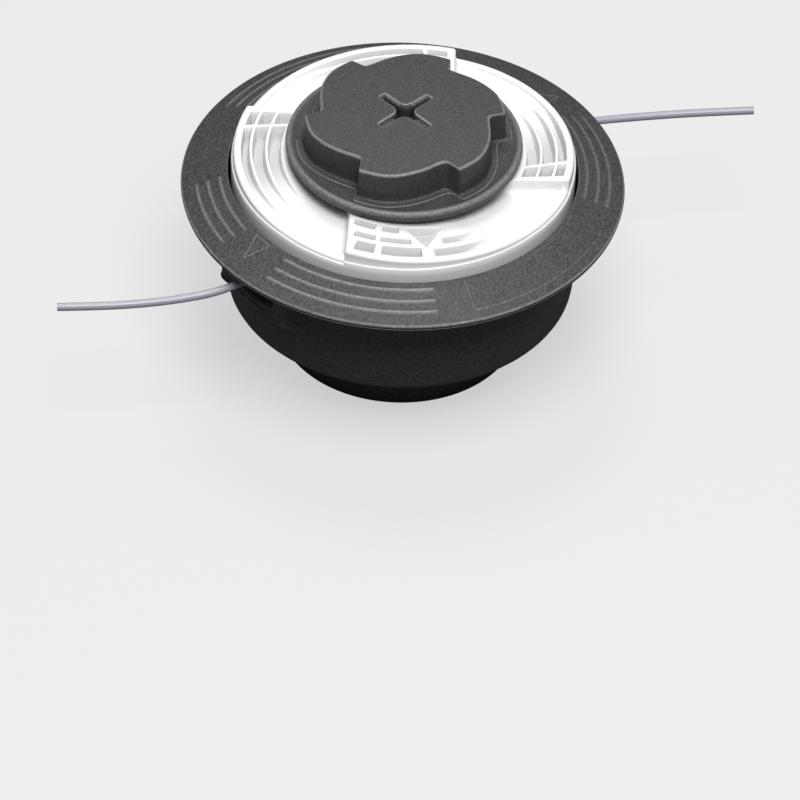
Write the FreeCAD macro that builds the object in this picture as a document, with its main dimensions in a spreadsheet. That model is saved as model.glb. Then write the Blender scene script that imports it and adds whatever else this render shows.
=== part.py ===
import FreeCAD, Part
import math
import os
import Sketcher
from FreeCAD import Placement, Rotation, Vector

# Bump feed trimmer head, standing on the rim of its mounting collar with the bump knob up.
# Millimetres. Z = 0 is the collar rim, +Z runs along the spin axis towards the knob, and the two
# line exits lie on the X axis.

DIMENSIONS = {
    # moulded housing: brim, bowl and collar
    "brim_radius": 54.5,
    "brim_inner_radius": 43.0,
    "brim_edge_height": 46.05,
    "brim_thickness": 2.0,
    "brim_dish": 3.95,
    "bowl_top_radius": 45.8,
    "bowl_mid_radius": 44.4,
    "bowl_mid_height": 30.6,
    "bowl_low_radius": 42.8,
    "bowl_low_height": 16.8,
    "bowl_shoulder": 3.1,
    "bowl_shoulder_round": 1.9,
    "bowl_wall": 2.3,
    "bowl_neck_height": 37.6,
    "floor_height": 14.0,
    "floor_thickness": 2.5,
    "collar_radius": 30.0,
    "collar_foot_radius": 30.6,
    "collar_bore_radius": 28.0,
    "ring_radius": 22.8,
    "ring_bore_radius": 20.75,
    "ring_height": 2.5,
    "rim_chamfer": 0.5,
    # mount face: facets and sunk panels
    "facet_start": 33.0,
    "facet_length": 13.0,
    "facet_tilt": 9.0,
    "facet_inner_half": 8.5,
    "facet_outer_half": 17.0,
    "panel_depth": 0.7,
    # cams on the bowl floor
    "cam_start": 22.0,
    "cam_end": 32.0,
    "cam_height": 3.0,
    # hub, drive socket and spindle post
    "hub_height": 6.1,
    "hub_flats": 20.6,
    "socket_flats": 15.5,
    "spoke_thickness": 1.4,
    "post_root_radius": 11.0,
    "post_root_top": 27.0,
    "post_radius": 7.5,
    "post_top": 48.0,
    "insert_shank_radius": 4.8,
    "insert_top": 38.0,
    "shaft_thread_radius": 4.3,
    "shaft_thread_depth": 11.0,
    # line exits
    "exit_height": 40.1,
    "guard_low": 32.1,
    "guard_reach": 47.8,
    "guard_inner": 8.0,
    "guard_outer": 13.6,
    "guard_root": 15.4,
    "niche_depth": 44.9,
    "web_rise": 2.6,
    "core_pocket_depth": 5.0,
    "eyelet_radius": 3.2,
    "eyelet_bore_radius": 1.6,
    "eyelet_flange_radius": 4.2,
    # spool
    "spool_radius": 42.2,
    "spool_step_inset": 0.5,
    "spool_plate_low": 46.0,
    "spool_plate_top": 47.6,
    "spool_high": 57.0,
    "spool_low": 54.0,
    "spool_cell_floor": 53.0,
    "spool_smooth_drop": 0.6,
    "spool_rim_inner": 39.8,
    "step_offset": 11.6,
    "step_reference": 38.0,
    "spool_face_radius": 24.6,
    "spool_core_radius": 18.6,
    "spool_core_bore": 16.0,
    "spool_flange_radius": 38.0,
    "spool_bottom": 24.3,
    "flange_thickness": 1.6,
    "web_low": 43.0,
    "lug_inner": 23.0,
    "lug_outer": 31.0,
    "lug_height": 3.0,
    "spigot_radius": 21.0,
    "spigot_top": 53.0,
    "spigot_wall": 1.8,
    "running_gap": 0.08,
    # bump knob
    "knob_flange_radius": 29.0,
    "knob_flange_low": 57.3,
    "knob_flange_round": 1.1,
    "knob_flange_top": 60.0,
    "knob_skirt_radius": 23.6,
    "knob_cavity_top": 60.6,
    "knob_edge_height": 67.9,
    "knob_crown": 1.1,
    "knob_lobe_mean": 22.87,
    "knob_cross_span": 17.6,
    "knob_cross_width": 2.2,
    "knob_cross_depth": 4.6,
    "knob_turn": -41.0,
    # spring, washers and fasteners
    "spring_radius": 13.4,
    "spring_wire": 1.6,
    "spring_turns": 6.0,
    "washer_low": 41.4,
    "washer_thickness": 1.4,
    "plate_thickness": 2.0,
    "plate_radius": 14.0,
    "bolt_shank_radius": 3.0,
    "bolt_head_radius": 5.0,
    "bolt_head_height": 4.2,
    "bolt_washer_thickness": 1.2,
    "bolt_key_flats": 5.0,
    "bolt_key_depth": 2.8,
    # trimmer line
    "line_diameter": 2.0,
    "winding_radius": 33.6,
    "winding_gap": 0.3,
    "winding_shoulder": 1.5,
}

# Grip ring: angle of each step edge at the reference radius, and the angle its ramp spans
STEP_ANGLES = (30.5, 116.5, 208.7, 303.0)
STEP_SPANS = (86.0, 92.2, 94.3, 87.5)
# The front ramp has a pattern of its own
FRONT_RAMP = 2
# Radii of the three rows of cells and grooves, and the angles behind the step where each form ends
ROWS = ((30.2, 33.1), (34.1, 36.9), (37.9, 39.7))
CELL_START = 3.5
CELL_END = 10.5
GROOVE_START = 12.5
GROOVE_RISE = 28.5
GROOVE_ENDS = (65.0, 65.0, 65.0, 50.0)
SMOOTH_START = 66.0
# Front ramp: (inner radius, outer radius, first angle, last angle), angles about the spin axis
FRONT_CELLS = ((36.5, 39.8, 212.6, 219.4), (33.3, 35.0, 210.0, 218.5), (29.1, 31.1, 207.5, 217.0),
               (36.5, 39.8, 222.4, 236.6), (33.3, 35.0, 221.0, 233.0), (29.1, 31.1, 220.6, 227.6),
               (37.2, 39.8, 241.5, 264.0), (33.3, 35.3, 246.0, 264.0))
FRONT_TRIANGLE = ((29.1, 230.0), (37.0, 239.0), (29.5, 246.6))
FACET_ANGLES = (49.0, 131.0, 229.0, 311.0)
SPOKES = 6
EXIT_SIDES = ((1, "right"), (-1, "left"))

doc = FreeCAD.newDocument("trimmer_head")
sheet = doc.addObject("Spreadsheet::Sheet", "dims")
for row, (alias, value) in enumerate(DIMENSIONS.items(), start=1):
    sheet.set("A%d" % row, alias)
    sheet.set("B%d" % row, str(value))
    sheet.setAlias("B%d" % row, alias)
doc.recompute()

PARTS = []


def dim(alias):
    """One driving dimension, as the sheet holds it."""
    return float(sheet.get(alias))


def turned(angle, x, y, z=0.0):
    """The point (x, y, z) turned about the spin axis by an angle in degrees."""
    return Rotation(Vector(0, 0, 1), angle).multVec(Vector(x, y, z))


def part(node, feature):
    """Register a finished sub-part: its label is the name of its file."""
    feature.Label = node
    PARTS.append(feature)
    return feature


def new_body(name):
    return doc.addObject("PartDesign::Body", name)


def plane(body, role):
    return next(item for item in body.Origin.OriginFeatures if item.Role == role)


def sketch_on(body, role, name, offset=None):
    """A sketch on one of the body's own origin planes, moved by an offset placement."""
    sketch = body.newObject("Sketcher::SketchObject", name)
    sketch.AttachmentSupport = (plane(body, role), "")
    sketch.MapMode = "FlatFace"
    if offset is not None:
        sketch.AttachmentOffset = offset
    return sketch


def bind(sketch, kind, geometry, point, expression):
    """Tie one coordinate of a vertex to an expression of the sheet."""
    index = sketch.addConstraint(Sketcher.Constraint(kind, -1, 1, geometry, point, 1.0))
    sketch.setExpression("Constraints[%d]" % index, expression)


def outline(sketch, vertices):
    """A closed outline of straight edges. Each vertex is a pair of sheet expressions."""
    count = len(vertices)
    ring = [Vector(30 + 5 * math.cos(2 * math.pi * i / count), 30 + 5 * math.sin(2 * math.pi * i / count), 0)
            for i in range(count)]
    for i in range(count):
        sketch.addGeometry(Part.LineSegment(ring[i], ring[(i + 1) % count]), False)
    for i in range(count):
        sketch.addConstraint(Sketcher.Constraint("Coincident", i, 2, (i + 1) % count, 1))
    for i, (across, along) in enumerate(vertices):
        bind(sketch, "DistanceX", i, 1, across)
        bind(sketch, "DistanceY", i, 1, along)


def circle(sketch, expression):
    """A circle about the sketch origin, its radius tied to the sheet."""
    index = sketch.addGeometry(Part.Circle(Vector(0, 0, 0), Vector(0, 0, 1), 10.0), False)
    sketch.addConstraint(Sketcher.Constraint("Coincident", index, 3, -1, 1))
    radius = sketch.addConstraint(Sketcher.Constraint("Radius", index, 10.0))
    sketch.setExpression("Constraints[%d]" % radius, expression)


def revolve(body, name, vertices, cut=False):
    """Turn a closed section, given as (radius, height) pairs, about the spin axis."""
    sketch = sketch_on(body, "XZ_Plane", name + "_section")
    outline(sketch, vertices)
    doc.recompute()
    feature = body.newObject("PartDesign::Groove" if cut else "PartDesign::Revolution", name)
    feature.Profile = sketch
    feature.ReferenceAxis = (sketch, ["V_Axis"])
    feature.Angle = 360.0
    doc.recompute()
    return feature


def pad(body, name, sketch, length, up=True):
    feature = body.newObject("PartDesign::Pad", name)
    feature.Profile = sketch
    feature.setExpression("Length", length)
    feature.Reversed = not up
    doc.recompute()
    return feature


def pocket(body, name, sketch, length, up=True):
    """Cut a sketch out of the body. Up cuts along the sketch normal."""
    before = body.Shape.Volume
    feature = body.newObject("PartDesign::Pocket", name)
    feature.Profile = sketch
    feature.setExpression("Length", length)
    feature.Reversed = up
    doc.recompute()
    if body.Shape.Volume > before - 0.01:
        raise RuntimeError("%s cuts nothing: %.2f to %.2f" % (name, before, body.Shape.Volume))
    return feature


def circular_edges(shape, wanted):
    """Names of the edges that are circles of the wanted (radius, height) pairs."""
    names = []
    for index, edge in enumerate(shape.Edges, start=1):
        curve = edge.Curve
        if not isinstance(curve, Part.Circle):
            continue
        for radius, height in wanted:
            if abs(curve.Radius - radius) < 0.02 and abs(curve.Center.z - height) < 0.02:
                names.append("Edge%d" % index)
    return names


def fillet(body, name, base, wanted, radius):
    """Round circular edges of the body's last feature."""
    feature = body.newObject("PartDesign::Fillet", name)
    feature.Base = (base, circular_edges(base.Shape, wanted))
    feature.Radius = radius
    doc.recompute()
    return feature


def polygon(sketch, sides, flats, turn=0.0):
    """A regular polygon, its width across flats tied to the sheet."""
    angles = [turn + 360.0 / sides * i for i in range(sides)]
    corner = "(%s) / 2 / cos(180 deg / %d)" % (flats, sides)
    vertices = [("%s * cos(%g deg)" % (corner, a), "%s * sin(%g deg)" % (corner, a)) for a in angles]
    outline(sketch, vertices)


def at_height(height):
    return Placement(Vector(0, 0, height), Rotation())


def solid_feature(name, shape):
    """A shape made by Part's own functions, as an object of the document."""
    feature = doc.addObject("Part::Feature", name)
    feature.Shape = shape
    return feature


def sector(inner, outer, start, end, low, high, lag=lambda radius: 0.0):
    """A block between two arcs and two heights. Lag turns its end walls by an angle that depends on radius."""
    corners = [turned(angle + lag(radius), radius, 0)
               for angle, radius in ((start, outer), (end, outer), (end, inner), (start, inner))]
    middle = (start + end) / 2.0
    edges = [Part.Arc(corners[0], turned(middle + lag(outer), outer, 0), corners[1]).toShape(),
             Part.LineSegment(corners[1], corners[2]).toShape(),
             Part.Arc(corners[2], turned(middle + lag(inner), inner, 0), corners[3]).toShape(),
             Part.LineSegment(corners[3], corners[0]).toShape()]
    block = Part.Face(Part.Wire(edges)).extrude(Vector(0, 0, high - low))
    block.translate(Vector(0, 0, low))
    return block


# Housing: the brim, the bowl and the collar

def housing_shell(body):
    """The turned form: a dished brim, a tapering bowl, a floor and the collar."""
    brim_top = "dims.brim_edge_height + dims.brim_thickness / 2"
    brim_under = "dims.brim_edge_height - dims.brim_thickness / 2"
    floor_top = "dims.floor_height + dims.floor_thickness"
    section = [
        ("dims.post_root_radius", floor_top),
        ("dims.bowl_low_radius - dims.bowl_wall - 1.6", floor_top),
        ("dims.bowl_low_radius - dims.bowl_wall", floor_top + " + 2"),
        ("dims.bowl_mid_radius - dims.bowl_wall", "dims.bowl_mid_height"),
        ("dims.brim_inner_radius", "dims.bowl_neck_height"),
        ("dims.brim_inner_radius", brim_top + " + dims.brim_dish"),
        ("dims.brim_radius - 1.2", brim_top),
        ("dims.brim_radius", brim_top + " - 0.6"),
        ("dims.brim_radius", brim_under + " + 0.5"),
        ("dims.brim_radius - 0.9", brim_under),
        ("dims.bowl_top_radius + 0.7", brim_under + " + dims.brim_dish * 0.75"),
        ("dims.bowl_top_radius", brim_under + " + dims.brim_dish * 0.75 - 0.7"),
        ("dims.bowl_mid_radius", "dims.bowl_mid_height"),
        ("dims.bowl_low_radius", "dims.bowl_low_height"),
        ("dims.bowl_low_radius - dims.bowl_shoulder", "dims.floor_height"),
        ("dims.collar_foot_radius", "dims.floor_height"),
        ("dims.collar_radius", "dims.rim_chamfer"),
        ("dims.collar_radius - dims.rim_chamfer", "0"),
        ("dims.collar_bore_radius + dims.rim_chamfer", "0"),
        ("dims.collar_bore_radius", "dims.rim_chamfer"),
        ("dims.collar_bore_radius", "dims.floor_height"),
        ("dims.post_root_radius", "dims.floor_height"),
    ]
    shell = revolve(body, "shell", section)
    shoulder = (dim("bowl_low_radius"), dim("bowl_low_height"))
    return fillet(body, "shoulder_round", shell, [shoulder], dim("bowl_shoulder_round"))


def housing_guards(body):
    """At each exit two guard posts stand on the brim, joined by an arched web on the bowl wall."""
    brim_under = "dims.brim_edge_height + dims.brim_dish * 0.6"
    for side, label in EXIT_SIDES:
        turn = 0.0 if side > 0 else 180.0
        flat = Placement(Vector(0, 0, dim("guard_low")), Rotation(Vector(0, 0, 1), turn))
        block = sketch_on(body, "XY_Plane", "guard_outline_" + label, flat)
        corner = (("dims.bowl_mid_radius - 3.3", "dims.guard_root"),
                  ("dims.guard_reach - 3", "dims.guard_outer"),
                  ("dims.guard_reach - 1.3", "(dims.guard_outer - 1.2)"),
                  ("dims.guard_reach - 0.3", "(dims.guard_outer - 3.2)"),
                  ("dims.guard_reach", "(dims.guard_inner + 1)"))
        outline(block, [(across, "-" + along) for across, along in corner] + list(reversed(corner)))
        pad(body, "guard_" + label, block, brim_under + " - dims.guard_low")
    # the blocks reach through the wall, so the inside of the bowl is cleared again
    clear = [("dims.bowl_low_radius - dims.bowl_wall - 4", "dims.guard_low - 1"),
             ("dims.bowl_mid_radius - dims.bowl_wall", "dims.guard_low - 1"),
             ("dims.brim_inner_radius", "dims.bowl_neck_height"),
             ("dims.brim_inner_radius", "dims.brim_edge_height + dims.brim_dish + 5"),
             ("dims.bowl_low_radius - dims.bowl_wall - 4", "dims.brim_edge_height + dims.brim_dish + 5")]
    revolve(body, "bowl_clearance", clear, cut=True)
    for side, label in EXIT_SIDES:
        face = sketch_on(body, "YZ_Plane", "niche_outline_" + label,
                         Placement(Vector(0, 0, side * dim("niche_depth")), Rotation()))
        inner = "dims.guard_inner"
        top = "dims.guard_low + dims.web_rise"
        roof = "dims.brim_edge_height + 1"
        outline(face, [("-" + inner, roof), ("-" + inner, top + " + 5"),
                       ("-%s * 0.72" % inner, top + " + 1.6"), ("-%s * 0.3" % inner, top),
                       ("%s * 0.3" % inner, top), ("%s * 0.72" % inner, top + " + 1.6"),
                       (inner, top + " + 5"), (inner, roof)])
        pocket(body, "niche_" + label, face, "dims.guard_reach + 0.3 - dims.niche_depth", up=side > 0)
        eyelet = sketch_on(body, "YZ_Plane", "eyelet_hole_outline_" + label,
                           Placement(Vector(0, dim("exit_height"), side * 38.0), Rotation()))
        circle(eyelet, "dims.eyelet_radius")
        pocket(body, "eyelet_hole_" + label, eyelet, "dims.guard_reach - 38", up=side > 0)
        for wing in (1, -1):
            core = sketch_on(body, "XY_Plane", "core_%s_%s" % (label, "a" if wing > 0 else "b"),
                             Placement(Vector(0, 0, dim("guard_low") - 0.1),
                                       Rotation(Vector(0, 0, 1), 0.0 if side > 0 else 180.0)))
            outline(core, [("dims.guard_reach - 3.4", "%d * (dims.guard_inner + 1.7)" % wing),
                           ("dims.guard_reach - 2.2", "%d * (dims.guard_inner + 3.4)" % wing),
                           ("dims.guard_reach - 3.4", "%d * (dims.guard_inner + 5.1)" % wing)])
            pocket(body, "core_pocket_%s_%s" % (label, "a" if wing > 0 else "b"), core, "dims.core_pocket_depth")


def housing_floor_forms(body):
    """The mount face: four sloping facets between the axes and a sunk panel by each exit."""
    for number, angle in enumerate(FACET_ANGLES, start=1):
        start = turned(angle, dim("facet_start"), 0, dim("floor_height"))
        tilt = Rotation(Vector(0, 0, 1), angle).multiply(Rotation(Vector(0, 1, 0), -dim("facet_tilt")))
        facet = sketch_on(body, "XY_Plane", "facet_outline_%d" % number, Placement(start, tilt))
        outline(facet, [("0", "-dims.facet_inner_half"), ("dims.facet_length", "-dims.facet_outer_half"),
                        ("dims.facet_length", "dims.facet_outer_half"), ("0", "dims.facet_inner_half")])
        pocket(body, "facet_%d" % number, facet, "6", up=False)
    for number, angle in enumerate((0.0, 180.0), start=1):
        spot = Placement(Vector(0, 0, dim("floor_height") - 1), Rotation(Vector(0, 0, 1), angle))
        panel = sketch_on(body, "XY_Plane", "panel_outline_%d" % number, spot)
        outline(panel, [("32.5", "-9"), ("36.2", "-11.5"), ("38.2", "-5.5"), ("38.6", "0"),
                        ("38.2", "5.5"), ("36.2", "11.5"), ("32.5", "9")])
        pocket(body, "panel_%d" % number, panel, "dims.panel_depth + 1")


def housing_cams(body):
    """Four cams on the bowl floor, which catch the spool lugs while the knob is pressed."""
    floor_top = dim("floor_height") + dim("floor_thickness")
    for number in range(4):
        spot = Placement(Vector(0, 0, floor_top - 0.5), Rotation(Vector(0, 0, 1), 45.0 + 90.0 * number))
        cam = sketch_on(body, "XY_Plane", "cam_outline_%d" % number, spot)
        outline(cam, [("dims.cam_start", "-1.6"), ("dims.cam_end", "-2.2"), ("dims.cam_end", "2.2"),
                      ("dims.cam_start", "1.6")])
        pad(body, "cam_%d" % number, cam, "dims.cam_height + 0.5")


def make_housing():
    body = new_body("housing_body")
    housing_shell(body)
    housing_guards(body)
    housing_floor_forms(body)
    housing_cams(body)
    part("housing", body)


# Drive hub and spindle

def hub_form(body):
    """The inner ring, the hexagonal hub and the stepped spindle post that passes through the bowl floor."""
    revolve(body, "inner_ring", [
        ("dims.ring_radius", "dims.floor_height"),
        ("dims.ring_radius", "dims.ring_height + dims.rim_chamfer"),
        ("dims.ring_radius - dims.rim_chamfer", "dims.ring_height"),
        ("dims.ring_bore_radius + dims.rim_chamfer", "dims.ring_height"),
        ("dims.ring_bore_radius", "dims.ring_height + dims.rim_chamfer"),
        ("dims.ring_bore_radius", "dims.floor_height")])
    spoke = sketch_on(body, "XY_Plane", "spoke_outline", at_height(dim("hub_height")))
    half = "dims.spoke_thickness / 2"
    outline(spoke, [("dims.hub_flats / 2 - 1", "-" + half), ("dims.ring_bore_radius + 0.5", "-" + half),
                    ("dims.ring_bore_radius + 0.5", half), ("dims.hub_flats / 2 - 1", half)])
    web = pad(body, "spoke", spoke, "dims.floor_height - dims.hub_height")
    pattern = body.newObject("PartDesign::PolarPattern", "spokes")
    pattern.Originals = [web]
    pattern.Axis = (spoke, ["N_Axis"])
    pattern.Angle = 360.0
    pattern.Occurrences = SPOKES
    body.Tip = pattern
    doc.recompute()
    hub = sketch_on(body, "XY_Plane", "hub_outline", at_height(dim("hub_height")))
    polygon(hub, SPOKES, "dims.hub_flats")
    pad(body, "hub", hub, "dims.floor_height - dims.hub_height")
    root = sketch_on(body, "XY_Plane", "post_root_outline", at_height(dim("floor_height") - 1))
    circle(root, "dims.post_root_radius - 1")
    pad(body, "post_neck", root, "2")
    upper = sketch_on(body, "XY_Plane", "post_root_upper_outline", at_height(dim("floor_height")))
    circle(upper, "dims.post_root_radius")
    pad(body, "post_root", upper, "dims.post_root_top - dims.floor_height")
    spindle = sketch_on(body, "XY_Plane", "spindle_outline", at_height(dim("post_root_top") - 1))
    circle(spindle, "dims.post_radius")
    pad(body, "spindle", spindle, "dims.post_top - dims.post_root_top + 1")


def hub_socket(body):
    """The hexagonal drive socket, and the stepped bore of the threaded insert above it."""
    socket = sketch_on(body, "XY_Plane", "socket_outline")
    polygon(socket, SPOKES, "dims.socket_flats")
    pocket(body, "socket", socket, "dims.post_root_top - 1")
    bore = sketch_on(body, "XY_Plane", "insert_bore_outline")
    circle(bore, "dims.insert_shank_radius")
    pocket(body, "insert_bore", bore, "dims.insert_top")
    clearance = sketch_on(body, "XY_Plane", "bolt_bore_outline")
    circle(clearance, "dims.bolt_shank_radius + 0.2")
    pocket(body, "bolt_bore", clearance, "dims.post_top + 1")


def make_drive_hub():
    """The mount side of the housing: ring, six webs and socketed hub, with the spindle post above."""
    body = new_body("drive_hub_body")
    hub_form(body)
    hub_socket(body)
    part("drive_hub", body)


# Parts that stay with the housing

def make_threaded_insert():
    """A steel hexagon sleeve in the drive socket, with a shank that takes the retaining bolt."""
    body = new_body("insert_body")
    seat = sketch_on(body, "XY_Plane", "insert_hexagon", at_height(dim("floor_height")))
    polygon(seat, 6, "dims.socket_flats - 0.1")
    pad(body, "insert_hex", seat, "dims.post_root_top - 1.1 - dims.floor_height")
    shank = sketch_on(body, "XY_Plane", "insert_shank_outline", at_height(dim("post_root_top") - 2))
    circle(shank, "dims.insert_shank_radius - 0.05")
    pad(body, "insert_shank", shank, "dims.insert_top - 0.1 - dims.post_root_top + 2")
    shaft = sketch_on(body, "XY_Plane", "shaft_thread_outline", at_height(dim("floor_height")))
    circle(shaft, "dims.shaft_thread_radius")
    pocket(body, "shaft_thread", shaft, "dims.shaft_thread_depth")
    screw = sketch_on(body, "XY_Plane", "bolt_thread_outline", at_height(dim("floor_height")))
    circle(screw, "dims.bolt_shank_radius - 0.5")
    pocket(body, "bolt_thread", screw, "dims.insert_top")
    part("threaded_insert", body)


def make_retaining_bolt():
    """A socket head bolt: core of the threaded end, plain shank and head."""
    body = new_body("bolt_body")
    seat = "dims.post_top + dims.plate_thickness + dims.bolt_washer_thickness"
    revolve(body, "bolt_form", [
        ("0", "dims.insert_top - 10"),
        ("dims.bolt_shank_radius - 0.55", "dims.insert_top - 10"),
        ("dims.bolt_shank_radius - 0.55", "dims.insert_top + 0.2"),
        ("dims.bolt_shank_radius", "dims.insert_top + 0.2"),
        ("dims.bolt_shank_radius", seat),
        ("dims.bolt_head_radius", seat),
        ("dims.bolt_head_radius", seat + " + dims.bolt_head_height - 0.5"),
        ("dims.bolt_head_radius - 0.5", seat + " + dims.bolt_head_height"),
        ("0", seat + " + dims.bolt_head_height")])
    head_top = dim("post_top") + dim("plate_thickness") + dim("bolt_washer_thickness") + dim("bolt_head_height")
    key = sketch_on(body, "XY_Plane", "key_outline", at_height(head_top - dim("bolt_key_depth")))
    polygon(key, 6, "dims.bolt_key_flats")
    pocket(body, "key_socket", key, "dims.bolt_key_depth + 1")
    part("retaining_bolt", body)


def make_bolt_washer():
    body = new_body("bolt_washer_body")
    sketch = sketch_on(body, "XY_Plane", "bolt_washer_outline",
                       at_height(dim("post_top") + dim("plate_thickness")))
    circle(sketch, "dims.bolt_head_radius + 1.2")
    circle(sketch, "dims.bolt_shank_radius + 0.15")
    pad(body, "bolt_washer_disc", sketch, "dims.bolt_washer_thickness")
    part("bolt_washer", body)


def make_retaining_plate():
    """A disc clamped on the post, which keeps the spool web from sliding off the spindle."""
    body = new_body("retaining_plate_body")
    sketch = sketch_on(body, "XY_Plane", "retaining_plate_outline", at_height(dim("post_top")))
    circle(sketch, "dims.plate_radius")
    circle(sketch, "dims.bolt_shank_radius + 0.15")
    pad(body, "retaining_plate_disc", sketch, "dims.plate_thickness")
    part("retaining_plate", body)


def make_eyelets():
    """A flanged bush lines the hole that each line leaves by."""
    for side, label in EXIT_SIDES:
        axis = Vector(side, 0, 0)
        start = Vector(side * (dim("brim_inner_radius") + 0.05), 0, dim("exit_height"))
        sleeve = Part.makeCylinder(dim("eyelet_radius") - 0.05, 2.8, start, axis)
        seat = Vector(side * (dim("niche_depth") + 0.05), 0, dim("exit_height"))
        flange = Part.makeCylinder(dim("eyelet_flange_radius"), 1.3, seat, axis)
        lip = [edge for edge in flange.Edges if abs(edge.BoundBox.XLength) < 0.001]
        outer = [edge for edge in lip if abs(abs(edge.BoundBox.Center.x) - dim("niche_depth") - 1.35) < 0.01]
        flange = flange.makeFillet(0.5, outer)
        bore = Part.makeCylinder(dim("eyelet_bore_radius"), 12.0, Vector(side * 40.0, 0, dim("exit_height")), axis)
        bell = Part.makeCone(dim("eyelet_bore_radius"), dim("eyelet_bore_radius") + 0.8, 0.9,
                             Vector(side * (dim("niche_depth") + 0.46), 0, dim("exit_height")), axis)
        shape = sleeve.fuse(flange).cut(bore).cut(bell).removeSplitter()
        part("line_eyelet_" + label, solid_feature("eyelet_" + label, shape))


# Spring and spring washer

def make_spring():
    """A round wire wound on a helix between the bowl floor and the spring washer."""
    low = dim("floor_height") + dim("floor_thickness")
    wire = dim("spring_wire")
    height = dim("washer_low") - low - wire
    helix = Part.makeHelix(height / dim("spring_turns"), height, dim("spring_radius"))
    start = Vector(dim("spring_radius"), 0, 0)
    section = Part.Wire([Part.Circle(start, Vector(0, 1, 0), wire / 2.0 - 0.02).toShape()])
    coil = Part.Wire(helix.Edges).makePipeShell([section], True, True)
    coil.translate(Vector(0, 0, low + wire / 2.0))
    part("spring", solid_feature("spring_wire_form", coil))


def make_spring_washer():
    body = new_body("spring_washer_body")
    sketch = sketch_on(body, "XY_Plane", "spring_washer_outline", at_height(dim("washer_low")))
    circle(sketch, "dims.spool_core_bore - 0.6")
    circle(sketch, "dims.post_radius + dims.running_gap")
    pad(body, "spring_washer_disc", sketch, "dims.washer_thickness")
    part("spring_washer", body)


# Spool: the white moulding with the grip ring on its face

def spool_section():
    """Turned section of the spool: flanges, core, web, face ring and the spigot of the knob."""
    middle = "(dims.spool_bottom + dims.flange_thickness + dims.spool_plate_low) / 2"
    return [
        ("dims.post_radius + dims.running_gap", "dims.web_low"),
        ("dims.spool_core_bore", "dims.web_low"),
        ("dims.spool_core_bore", "dims.spool_bottom"),
        ("dims.spool_flange_radius", "dims.spool_bottom"),
        ("dims.spool_flange_radius", "dims.spool_bottom + dims.flange_thickness"),
        ("dims.spool_core_radius", "dims.spool_bottom + dims.flange_thickness"),
        ("dims.spool_core_radius", middle + " - dims.flange_thickness / 2"),
        ("dims.spool_flange_radius - 1", middle + " - dims.flange_thickness / 2"),
        ("dims.spool_flange_radius - 1", middle + " + dims.flange_thickness / 2"),
        ("dims.spool_core_radius", middle + " + dims.flange_thickness / 2"),
        ("dims.spool_core_radius", "dims.spool_plate_low"),
        ("dims.spool_radius", "dims.spool_plate_low"),
        ("dims.spool_radius", "dims.spool_low"),
        ("dims.spool_radius - dims.spool_step_inset", "dims.spool_low"),
        ("dims.spool_radius - dims.spool_step_inset", "dims.spool_high"),
        ("dims.spool_face_radius", "dims.spool_high"),
        ("dims.spool_face_radius", "dims.spool_plate_top"),
        ("dims.spigot_radius", "dims.spool_plate_top"),
        ("dims.spigot_radius", "dims.spigot_top"),
        ("dims.spigot_radius - dims.spigot_wall", "dims.spigot_top"),
        ("dims.spigot_radius - dims.spigot_wall", "dims.spool_plate_top"),
        ("dims.post_radius + dims.running_gap", "dims.spool_plate_top"),
    ]


def slant(radius):
    """How far a step edge lags at a radius: its straight line passes beside the axis at the step offset."""
    reference = math.asin(dim("step_offset") / dim("step_reference"))
    return math.degrees(reference - math.asin(dim("step_offset") / radius))


def above_ramp(inner, outer, start, end, first, last):
    """What lies above a helicoid face that runs from one height at its start to another at its end."""
    rise = abs(last - first)
    span = end - start
    edges = []
    for radius in (inner, outer):
        helix = Part.makeHelix(rise * 360.0 / span, rise, radius)
        foot = start
        if last < first:
            # mirrored in Y, the right-hand helix falls as the angle grows
            helix = helix.mirror(Vector(0, 0, 0), Vector(0, 1, 0))
            foot = end
        helix.rotate(Vector(0, 0, 0), Vector(0, 0, 1), foot + slant(radius))
        helix.translate(Vector(0, 0, min(first, last)))
        edges.append(helix.Edges[0])
    face = Part.makeRuledSurface(edges[0], edges[1])
    return face.extrude(Vector(0, 0, 2 * (dim("spool_high") - dim("spool_low"))))


def ramp_height(share):
    """Height of a ramp at a share of its span."""
    return dim("spool_high") - share * (dim("spool_high") - dim("spool_low"))


def ring_ramps():
    """Four helicoid ramps, each from a high step down to the foot of the next."""
    margin = 1.5
    inner = dim("spool_face_radius") - margin
    outer = dim("spool_radius") + margin
    return [above_ramp(inner, outer, start, start + span, dim("spool_high"), dim("spool_low"))
            for start, span in zip(STEP_ANGLES, STEP_SPANS)]


def ring_hollows():
    """The sunk end of each ramp inside the rim, and the far part of each groove, which rises into it."""
    cuts = []
    drop = dim("spool_smooth_drop")
    for number, (start, span, groove_end) in enumerate(zip(STEP_ANGLES, STEP_SPANS, GROOVE_ENDS)):
        cuts.append(above_ramp(dim("spool_face_radius") - 1.5, dim("spool_rim_inner"), start + SMOOTH_START,
                               start + span, ramp_height(SMOOTH_START / span) - drop, dim("spool_low") - drop))
        if number == FRONT_RAMP:
            continue
        for inner, outer in ROWS:
            cuts.append(above_ramp(inner, outer, start + GROOVE_RISE, start + groove_end,
                                   dim("spool_cell_floor"), ramp_height(groove_end / span) - drop))
    return cuts


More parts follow.
